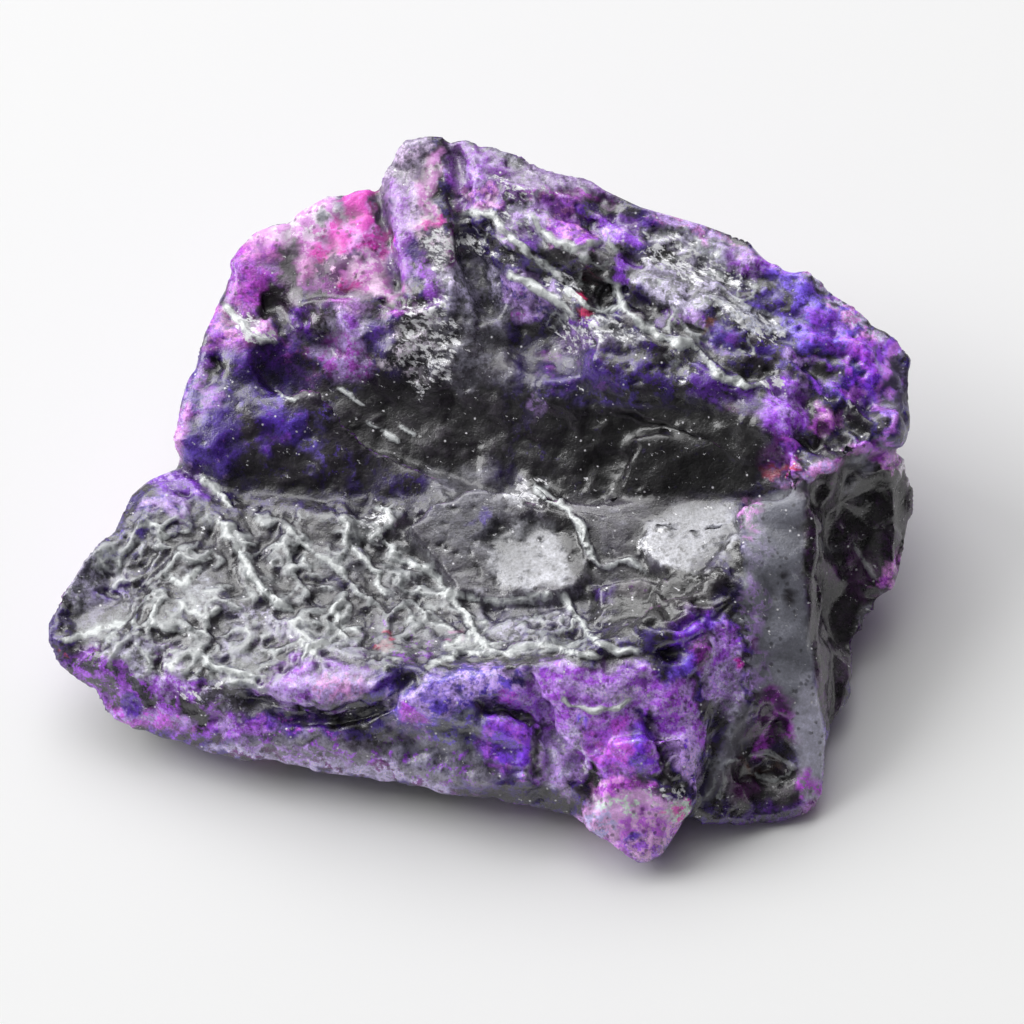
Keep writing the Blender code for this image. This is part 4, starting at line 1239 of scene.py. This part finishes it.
# %% What the surface reads
corundum = bpy.data.materials.new("wet_broken_corundum")
corundum.use_nodes = True
tree = corundum.node_tree
tree.nodes.clear()
where = add_node(tree, "ShaderNodeTexCoord", output="Object")
layer = {
    name: add_node(tree, "ShaderNodeAttribute", {"attribute_name": name})
    for name in ("ground_colour", "fleck_colour", "finish", "skin")
}
share_in = add_node(tree, "ShaderNodeSeparateColor", {}, {"Color": layer["finish"]})
waxy_in, sugary_in = share_in.node.outputs["Green"], share_in.node.outputs["Blue"]
film_and_highlight_in = add_node(tree, "ShaderNodeSeparateColor", {}, {"Color": layer["skin"]})
flakes_and_glints_in, dust_and_glints_in = film_and_highlight_in.node.outputs["Green"], film_and_highlight_in.node.outputs["Blue"]
NOISES = [  # size in mm, detail and roughness
    (0.50, 6.0, 0.72),  # mineral grains
    (0.30, 4.0, 0.75),  # light and dark in a grain
    (0.11, 2.0, 0.6),  # the finest that shows
]
mineral_grain, shading, fine = (
    add_node(
        tree, "ShaderNodeTexNoise",
        {"Scale": 1 / (size * MM), "Detail": detail, "Roughness": roughness}, {"Vector": where}
    )
    for size, detail, roughness in NOISES
)
print(len(layer), "layers and", len(NOISES), "noises are read")

# %% Mineral grains of ground and fleck
over_share = add_node(tree, "ShaderNodeMath", {"operation": "SUBTRACT"}, {0: mineral_grain, 1: share_in})
is_fleck = add_node(
    tree, "ShaderNodeMapRange", {"From Min": -0.02, "From Max": 0.035, "To Min": 1.0, "To Max": 0.0},
    {0: over_share}
)
mottled = add_node(
    tree, "ShaderNodeMix", {"data_type": "RGBA"},
    {0: is_fleck, 6: layer["ground_colour"], 7: layer["fleck_colour"]}, 2
)
coarse_light, fine_light = (
    add_node(
        tree, "ShaderNodeMapRange", {"From Min": 0.3, "From Max": 0.7, "To Min": darkest, "To Max": lightest},
        {0: noise}
    )
    for noise, darkest, lightest in ((shading, 0.45, 1.6), (fine, 0.65, 1.4))
)
both_lights = add_node(tree, "ShaderNodeMath", {"operation": "MULTIPLY"}, {0: coarse_light, 1: fine_light})
calm_in = add_node(tree, "ShaderNodeMath", {"operation": "MAXIMUM"}, {0: sugary_in, 1: waxy_in})
calmed = add_node(tree, "ShaderNodeMath", {"operation": "MULTIPLY", 1: 0.6}, {0: calm_in})
brightness = add_node(tree, "ShaderNodeMix", {"data_type": "FLOAT", 3: 1.0}, {0: calmed, 2: both_lights})
look = add_node(tree, "ShaderNodeVectorMath", {"operation": "SCALE"}, {0: mottled, "Scale": brightness})
print("grains made of", len(tree.nodes), "nodes so far")

# %% [markdown]
# The milky film, partly a painted highlight, is grey where it is thin and white where it is thick, on the
# ridges and veins. White flakes, partly painted glints, lie along the ledges, so their noise is stretched that
# way. White dust, which also stands for painted glints, and dark pits sit in small cells, one each, and a
# random number picks the few cells where they show.

# %% Film and flakes, partly painted highlights and glints
FLAKE_AND_GLINT_SIZE = 0.22  # mm
film_and_highlight_noise = add_node(tree, "ShaderNodeMath", {"operation": "MULTIPLY_ADD", 1: 0.9}, {0: shading, 2: film_and_highlight_in})
streaked = add_node(
    tree, "ShaderNodeMapping",
    {"vector_type": "TEXTURE", "Rotation": (0, 0, -LEDGE_FALL), "Scale": (1.8, 1.0, 1.0)}, {"Vector": where}
)
flake_and_glint_noise = add_node(
    tree, "ShaderNodeTexNoise", {"Scale": 1 / (FLAKE_AND_GLINT_SIZE * MM), "Detail": 5.0, "Roughness": 0.72}, {"Vector": streaked}
)
flake_and_glint_edge = add_node(
    tree, "ShaderNodeMath", {"operation": "MULTIPLY_ADD", 1: 0.14}, {0: flakes_and_glints_in, 2: flake_and_glint_noise}
)
COVERS = [  # colour, what it follows, from and to where it comes in, and how much it covers at most
    ("abafb1", film_and_highlight_noise, 0.80, 1.25, 0.8),
    ("dde1e1", film_and_highlight_noise, 1.40, 1.70, 1.0),
    ("f2f2f6", flake_and_glint_edge, 0.645, 0.68, 1.0),
]
for colour, source, start, full, most in COVERS:
    cover = add_node(
        tree, "ShaderNodeMapRange", {"From Min": start, "From Max": full, "To Min": 0.0, "To Max": most},
        {0: source}
    )
    look = add_node(
        tree, "ShaderNodeMix", {"data_type": "RGBA", 7: (*linear(colour), 1)}, {0: cover, 6: look}, 2
    )
print(len(COVERS), "covers of film and flakes")

# %% Dust that also stands for painted glints, and pits
GRIT = 0.17  # mm
from_grit = add_node(
    tree, "ShaderNodeTexVoronoi", {"Scale": 1 / (GRIT * MM), "Randomness": 1.0}, {"Vector": where}
)
lot = add_node(tree, "ShaderNodeSeparateColor", {}, {"Color": from_grit.node.outputs["Color"]})
# white dust specks, which also stand for painted glints
is_dust_and_glint = add_node(tree, "ShaderNodeMath", {"operation": "LESS_THAN"}, {0: lot, 1: dust_and_glints_in})
is_pit = add_node(
    tree, "ShaderNodeMath", {"operation": "GREATER_THAN", 1: 0.90}, {0: lot.node.outputs["Green"]}
)
SPECKS = [  # colour, which cells have one, where its rim starts and ends, and how much it covers
    (NIGHT, is_pit, 0.3, 0.7, 0.6),
    ("f4f2f8", is_dust_and_glint, 0.16, 0.36, 1.0),
]
for colour, chosen, start, end, most in SPECKS:
    dot = add_node(
        tree, "ShaderNodeMapRange", {"From Min": start, "From Max": end, "To Min": most, "To Max": 0.0},
        {0: from_grit}
    )
    speck = add_node(tree, "ShaderNodeMath", {"operation": "MULTIPLY"}, {0: dot, 1: chosen})
    look = add_node(
        tree, "ShaderNodeMix", {"data_type": "RGBA", 7: (*linear(colour), 1)}, {0: speck, 6: look}, 2
    )
print(len(SPECKS), "kinds of speck")

# %% [markdown]
# Roughness goes from 0.2 under the wet coat to a waxy 0.42 and a sugary 0.5, broken up everywhere. The bump is
# only for what is finer than the mesh: grains of one to three tenths of a millimetre.

# %% Gloss, bump and the shader
WET_ROUGHNESS, WAXY_ROUGHNESS, SUGARY_ROUGHNESS = 0.20, 0.42, 0.50
GRAIN_HEIGHT = 0.045  # mm
gloss = add_node(
    tree, "ShaderNodeMapRange",
    {"From Min": 0.35, "From Max": 0.7, "To Min": WET_ROUGHNESS, "To Max": WAXY_ROUGHNESS}, {0: shading}
)
for mask, roughness in ((waxy_in, WAXY_ROUGHNESS), (sugary_in, SUGARY_ROUGHNESS)):
    gloss = add_node(tree, "ShaderNodeMix", {"data_type": "FLOAT", 3: roughness}, {0: mask, 2: gloss})
height = add_node(tree, "ShaderNodeMath", {"operation": "MULTIPLY_ADD", 1: 0.6}, {0: fine, 2: shading})
bump = add_node(tree, "ShaderNodeBump", {"Strength": 0.7, "Distance": GRAIN_HEIGHT * MM}, {"Height": height})
wet = add_node(tree, "ShaderNodeMath", {"operation": "MULTIPLY_ADD", 1: -0.6, 2: 0.6}, {0: waxy_in})
shader = add_node(
    tree, "ShaderNodeBsdfPrincipled",
    {"IOR": 1.77, "Coat Roughness": 0.12, "Coat IOR": 1.45},
    {"Base Color": look, "Roughness": gloss, "Coat Weight": wet, "Normal": bump},
)
add_node(tree, "ShaderNodeOutputMaterial", {}, {"Surface": shader}, output=None)
print("surface made of", len(tree.nodes), "nodes")
stone.data.materials.clear()
stone.data.materials.append(corundum)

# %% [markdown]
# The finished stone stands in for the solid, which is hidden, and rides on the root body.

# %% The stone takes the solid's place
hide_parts("sapphire")
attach(stone, "root")
print(stone.name, "stands for the solid")

# %% [markdown]
# ## Table, light and camera
#
# The stone lies on plain white card. Light comes from one large window behind it to the left, which the wet
# trough mirrors, from a brighter one at the left, and from a pale room that is darker towards the front, the
# right and the floor, so that the slopes which mirror those parts keep their deep colour.

# %% The card
CARD_SIDE = 1.6  # m
bpy.ops.object.select_all(action="DESELECT")
bpy.ops.mesh.primitive_plane_add(size=CARD_SIDE, location=(0, 0, 0))
card = bpy.context.active_object
card.name = "white_card"
paper = bpy.data.materials.new("matt_white_card")
paper.use_nodes = True
paper_look = paper.node_tree.nodes["Principled BSDF"].inputs
paper_look["Base Color"].default_value = (*linear("f9f9f9"), 1)
paper_look["Roughness"].default_value = 0.85
card.data.materials.append(paper)
print("card", CARD_SIDE, "m square")


# %% The window
def direction_to(azimuth, rise):
    """The direction at this azimuth, in degrees from the back towards the right, and this rise."""
    turn, rise = math.radians(azimuth), math.radians(rise)
    return Vector((math.sin(turn) * math.cos(rise), math.cos(turn) * math.cos(rise), math.sin(rise)))


def window(name, toward, distance, width, height, radiance):
    """A soft rectangular light that faces the stone, with sizes and distance in metres."""
    light = bpy.data.lights.new(name, "AREA")
    light.shape = "RECTANGLE"
    light.size = width
    light.size_y = height
    light.energy = radiance * math.pi * width * height
    piece = bpy.data.objects.new(name, light)
    bpy.context.scene.collection.objects.link(piece)
    piece.location = toward * distance
    piece.rotation_euler = toward.to_track_quat("Z", "Y").to_euler()
    print(name, "of", round(light.energy, 2), "W")


TO_BACK_WINDOW = direction_to(-14, 46)
window("back_window", TO_BACK_WINDOW, distance=0.6, width=0.44, height=0.34, radiance=2.45)
window("left_window", direction_to(-76, 34), distance=0.7, width=0.45, height=0.45, radiance=5.1)

# %% The room
room = bpy.data.worlds.new("pale_room")
bpy.context.scene.world = room
room.use_nodes = True
sky = room.node_tree
sky.nodes.clear()
direction = add_node(sky, "ShaderNodeTexCoord", output="Generated")
ROOM = [  # towards which side it changes, from and to what closeness, and its light away from there and there
    (Vector((0, 0, 1)), 0.05, 0.80, 0.05, 0.50),
    (direction_to(180, 38), 0.45, 0.90, 1.0, 0.55),
    (direction_to(122, 20), 0.10, 0.85, 1.0, 0.18),
    (TO_BACK_WINDOW, 0.70, 0.97, 0.0, 0.8),
]
lights = []
for toward, start, full, away_from_it, there in ROOM:
    closeness = add_node(
        sky, "ShaderNodeVectorMath", {"operation": "DOT_PRODUCT", 1: tuple(toward)}, {0: direction}, "Value"
    )
    lights.append(add_node(
        sky, "ShaderNodeMapRange",
        {"interpolation_type": "SMOOTHSTEP", "From Min": start, "From Max": full,
         "To Min": away_from_it, "To Max": there},
        {0: closeness}
    ))
overhead, front_share, right_share, halo = lights
both_shares = add_node(sky, "ShaderNodeMath", {"operation": "MULTIPLY"}, {0: front_share, 1: right_share})
lit = add_node(sky, "ShaderNodeMath", {"operation": "MULTIPLY_ADD"}, {0: overhead, 1: both_shares, 2: halo})
camera_ray = add_node(sky, "ShaderNodeLightPath", output="Is Camera Ray")
strength = add_node(sky, "ShaderNodeMix", {"data_type": "FLOAT", 3: 0.95}, {0: camera_ray, 2: lit})
glow = add_node(sky, "ShaderNodeBackground", {"Color": (1, 1, 1, 1)}, {"Strength": strength})
add_node(sky, "ShaderNodeOutputWorld", {}, {"Surface": glow}, output=None)
bpy.context.scene.view_settings.view_transform = "Standard"
print("room made of", len(sky.nodes), "nodes")

# %% The camera
view_camera = bpy.data.cameras.new("camera")
view_camera.lens = LENS
view_camera.sensor_width = SENSOR
view_camera.clip_start = 0.01
view_camera.clip_end = 10
camera = bpy.data.objects.new("camera", view_camera)
bpy.context.scene.collection.objects.link(camera)
across = Vector((VIEW_MIDDLE[0] * MM, 0, 0))
upward = Vector(VIEW_UP) * VIEW_MIDDLE[1] * MM
camera.location = across + upward + Vector(TO_VIEW) * (VIEW_DISTANCE + STONE_NEARER) * MM
camera.rotation_euler = (math.pi / 2 - VIEW_RISE, 0, 0)
bpy.context.scene.camera = camera
print("camera at", in_mm(camera.location), "mm")
